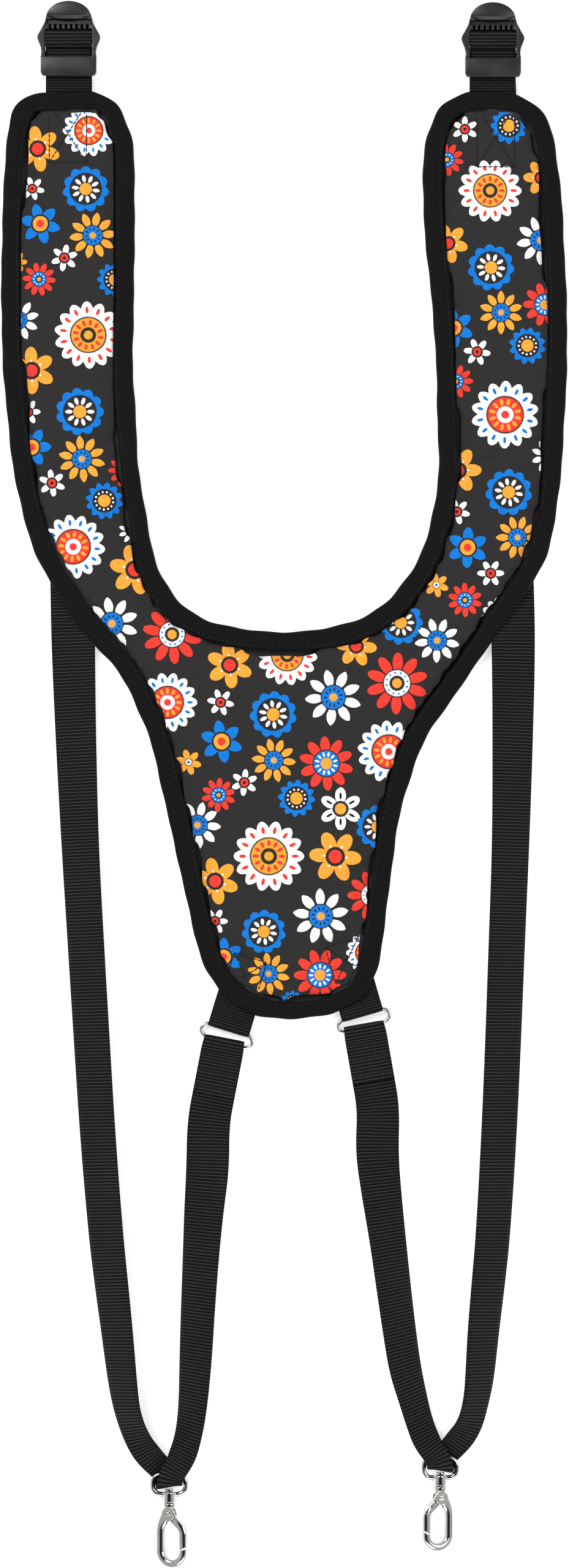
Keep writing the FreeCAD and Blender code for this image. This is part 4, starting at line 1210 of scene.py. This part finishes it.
def line_distance(q, points):
    """Plan distance to a run of straight lines."""
    best = np.full(len(q), NO_LINE)
    for a, b in zip(points[:-1], points[1:]):
        a, d = np.array(a, float), np.array(b, float) - np.array(a, float)
        t = np.clip(((q[:, :2] - a) @ d) / (d @ d), 0, 1)
        best = np.minimum(best, np.linalg.norm(q[:, :2] - a - t[:, None] * d, axis=1))
    return best


def cast_shape(obj, s):
    """Rounds the bars of a hook or gate across their width, as cast and polished hooks are."""
    q = hook_frame(coords(obj) / MM, s)
    left, right = LOOP_X - LOOP_R, LOOP_X + LOOP_R
    arm = [(-1.4, -21.6), (-4.32, -28.15), (-4.9, -29.9), (left, -31.8), (left, LOOP_Y)]
    gate = [(0, RIVET_Y), (6.42, -28.28), (7.25, -29.3), (7.85, -30.6), (8.2, -31.9), (right, -33.06),
            (right, LOOP_Y)]
    away = np.minimum(line_distance(q, arm), line_distance(q, gate))
    bend = np.abs(np.hypot(q[:, 0] - LOOP_X, q[:, 1] - LOOP_Y) - LOOP_R)
    away = np.where(q[:, 1] < LOOP_Y, bend, away)
    across_bar = np.clip(away / (LOOP_WALL / 2 + 0.12), 0, 1)
    rounding = step_up(-q[:, 1], 24.2, 30.0)
    slim = 0.28 + 0.72 * np.sqrt(1 - across_bar ** 2)
    q[:, 2] *= 1 + rounding * (slim - 1)
    set_coords(obj, from_hook_frame(q, s) * MM)
    return obj


def domed_pin(name, s):
    """The gate's rivet with its ends headed over."""
    obj = soften("gate_pin_" + name, "pin_" + name, 0.16, 2)
    q = hook_frame(coords(obj) / MM, s)
    r = np.hypot(q[:, 0], q[:, 1] - RIVET_Y)
    dome = np.sqrt(np.clip(1 - (r / 1.35) ** 2, 0, 1))
    q[:, 2] += np.sign(q[:, 2]) * step_up(np.abs(q[:, 2]), 1.9, 2.4) * 0.75 * dome
    set_coords(obj, from_hook_frame(q, s) * MM)
    return paint(obj, MAT_NICKEL)


def moulded_buckle(name, s):
    """The ladder buckle with its domed front, the hollow behind the dome and the arched rear plate."""
    obj = soften("ladder_buckle_" + name, "buckle_" + name, 0.3, 3)
    x, top = s["buckle"]
    co = coords(obj)
    p = co / MM
    beside, down = p[:, 0] - x, top - p[:, 1]
    crown = np.clip(1 - (beside / 13.6) ** 2 - ((down - 4.8) / 6.4) ** 2, 0, 1)
    front = 1 - step_up(down, 11.6, 12.6)
    high = np.clip((p[:, 2] - 3.6) / 3.4, 0, 1)
    rise = front * high * (1.9 * np.sqrt(crown) - 1.55)
    inner = 1 - step_up(np.abs(beside), 11.6, 12.4)
    recess = step_up(down, 9.6, 10.3) * (1 - step_up(down, 12.1, 12.7)) * high * inner * 2.9
    lip = np.exp(-((down - 9.4) / 0.8) ** 2) * front * high * 0.7
    co[:, 2] += (rise - lip - recess) * MM
    rear = step_up(down, 30.6, 31.6) * np.clip((p[:, 2] - 7.4) / 1.2, 0, 1)
    co[:, 2] += rear * 0.55 * (1 - ((down - 36.3) / 5.6) ** 2 - 0.6 * (beside / 15.4) ** 4) * MM
    set_coords(obj, co)
    return paint(obj, MAT_PLASTIC)


buckles, eyes, hooks, gates, pins = {}, {}, {}, {}, {}
for name, s in SIDES.items():
    buckles[name] = moulded_buckle(name, s)
    eyes[name] = paint(soften("hook_eye_" + name, "eye_" + name, 0.28, 3), MAT_NICKEL)
    hooks[name] = paint(cast_shape(soften("hook_body_" + name, "hook_" + name, 0.26, 4), s), MAT_NICKEL)
    gates[name] = paint(cast_shape(soften("hook_gate_" + name, "gate_" + name, 0.24, 3), s), MAT_NICKEL)
    pins[name] = domed_pin(name, s)
    paint(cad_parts["gate_spring_" + name], MAT_STEEL)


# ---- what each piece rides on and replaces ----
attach(face, "harness")
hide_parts("face_fabric", "foam_core")
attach(bind, "harness")
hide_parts("edge_binding")
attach(under_cloth, "harness")
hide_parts("back_lining")
for obj in (box_thread, rim_thread):
    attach(obj, "harness")

for name, s in SIDES.items():
    for kind in ("buckle_tab_", "ring_tab_"):
        piece = tabs[kind + name]
        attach(piece, "harness")
        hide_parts(kind + name)
    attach(laced[name], "buckle_" + name)
    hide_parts("strap_threading_" + name)
    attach(buckles[name], "buckle_" + name)
    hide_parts("ladder_buckle_" + name)

    outer = straps["outer_" + name]
    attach(outer, "harness")
    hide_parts("strap_under_" + name, "strap_outer_" + name, "strap_bight_" + name)
    line = PIECES["outer_" + name][0]

    inner = straps["inner_" + name]
    far = end_start(s) - along(s["end_tilt"]) * END_HINGE
    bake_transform(inner)
    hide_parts("strap_inner_" + name, "strap_end_" + name)
    line = PIECES["inner_" + name][0]
    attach(tacks[name], "end_" + name)

    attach(rings[name], "ring_body_" + name)
    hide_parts("ring_" + name)
    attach(eyes[name], "eye_" + name)
    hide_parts("hook_eye_" + name)
    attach(hooks[name], "hook_" + name)
    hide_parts("hook_body_" + name)
    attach(pins[name], "hook_" + name)
    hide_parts("gate_pin_" + name)
    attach(gates[name], "gate_" + name)
    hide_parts("hook_gate_" + name)


# ---- floor and light ----
FLOOR_R = 14                           # metres, so wide that its rim is far off in low views
floor_mesh = bpy.data.meshes.new("floor")
turns = [2 * math.pi * k / 96 for k in range(96)]
floor_mesh.from_pydata([(FLOOR_R * math.cos(a), FLOOR_R * math.sin(a), 0) for a in turns], [],
                       [tuple(range(96))])
floor = link("floor", floor_mesh)
floor.location.z = -0.0004
m = Nodes("floor_paper")
paint(floor, m.set(color=(0.68, 0.68, 0.68), rough=0.9, specular=0.1))
m.bsdf.inputs["Emission Color"].default_value = (1, 1, 1, 1)
m.bsdf.inputs["Emission Strength"].default_value = 0.52


def area_light(name, place, target, size, power):
    """A soft light at a place, turned to a target; metres and watts."""
    data = bpy.data.lights.new(name, "AREA")
    data.shape = "RECTANGLE"
    data.size, data.size_y = size
    data.energy = power
    obj = bpy.data.objects.new(name, data)
    scene.collection.objects.link(obj)
    obj.location = place
    obj.rotation_euler = (Vector(target) - Vector(place)).to_track_quat("-Z", "Y").to_euler()


area_light("key", (-1.3, 1.2, 2.2), (0, 0, 0), (1.2, 1.2), 60)
area_light("fill", (1.6, 0.2, 2.0), (0, 0, 0), (1.4, 2.0), 27)
area_light("low", (0.2, -1.9, 1.6), (0, -0.1, 0), (1.8, 0.8), 26)
world = bpy.data.worlds.new("studio")
world.use_nodes = True
tree = world.node_tree
back = tree.nodes["Background"]
back.inputs[1].default_value = 0.62
# a pale room with a dark ceiling, so that metal has something dark to show
direction = tree.nodes.new("ShaderNodeSeparateXYZ")
tree.links.new(tree.nodes.new("ShaderNodeTexCoord").outputs["Generated"], direction.inputs[0])
walls = tree.nodes.new("ShaderNodeValToRGB")
walls.color_ramp.interpolation = "EASE"
for element, place, color in zip(walls.color_ramp.elements, (0.0, 0.22), ((0.30, 0.30, 0.31, 1), (1, 1, 1, 1))):
    element.position, element.color = place, color
for place, level in ((0.72, 1.0), (0.90, 0.10), (1.0, 0.03)):
    walls.color_ramp.elements.new(place).color = (level, level, level * 1.02, 1)
tree.links.new(direction.outputs[2], walls.inputs[0])
seen = tree.nodes.new("ShaderNodeLightPath")
blend = tree.nodes.new("ShaderNodeMix")
blend.data_type = "RGBA"
tree.links.new(seen.outputs["Is Camera Ray"], blend.inputs[0])
tree.links.new(walls.outputs[0], blend.inputs[6])
blend.inputs[7].default_value = (1.5, 1.5, 1.5, 1)
tree.links.new(blend.outputs[2], back.inputs[0])
scene.world = world
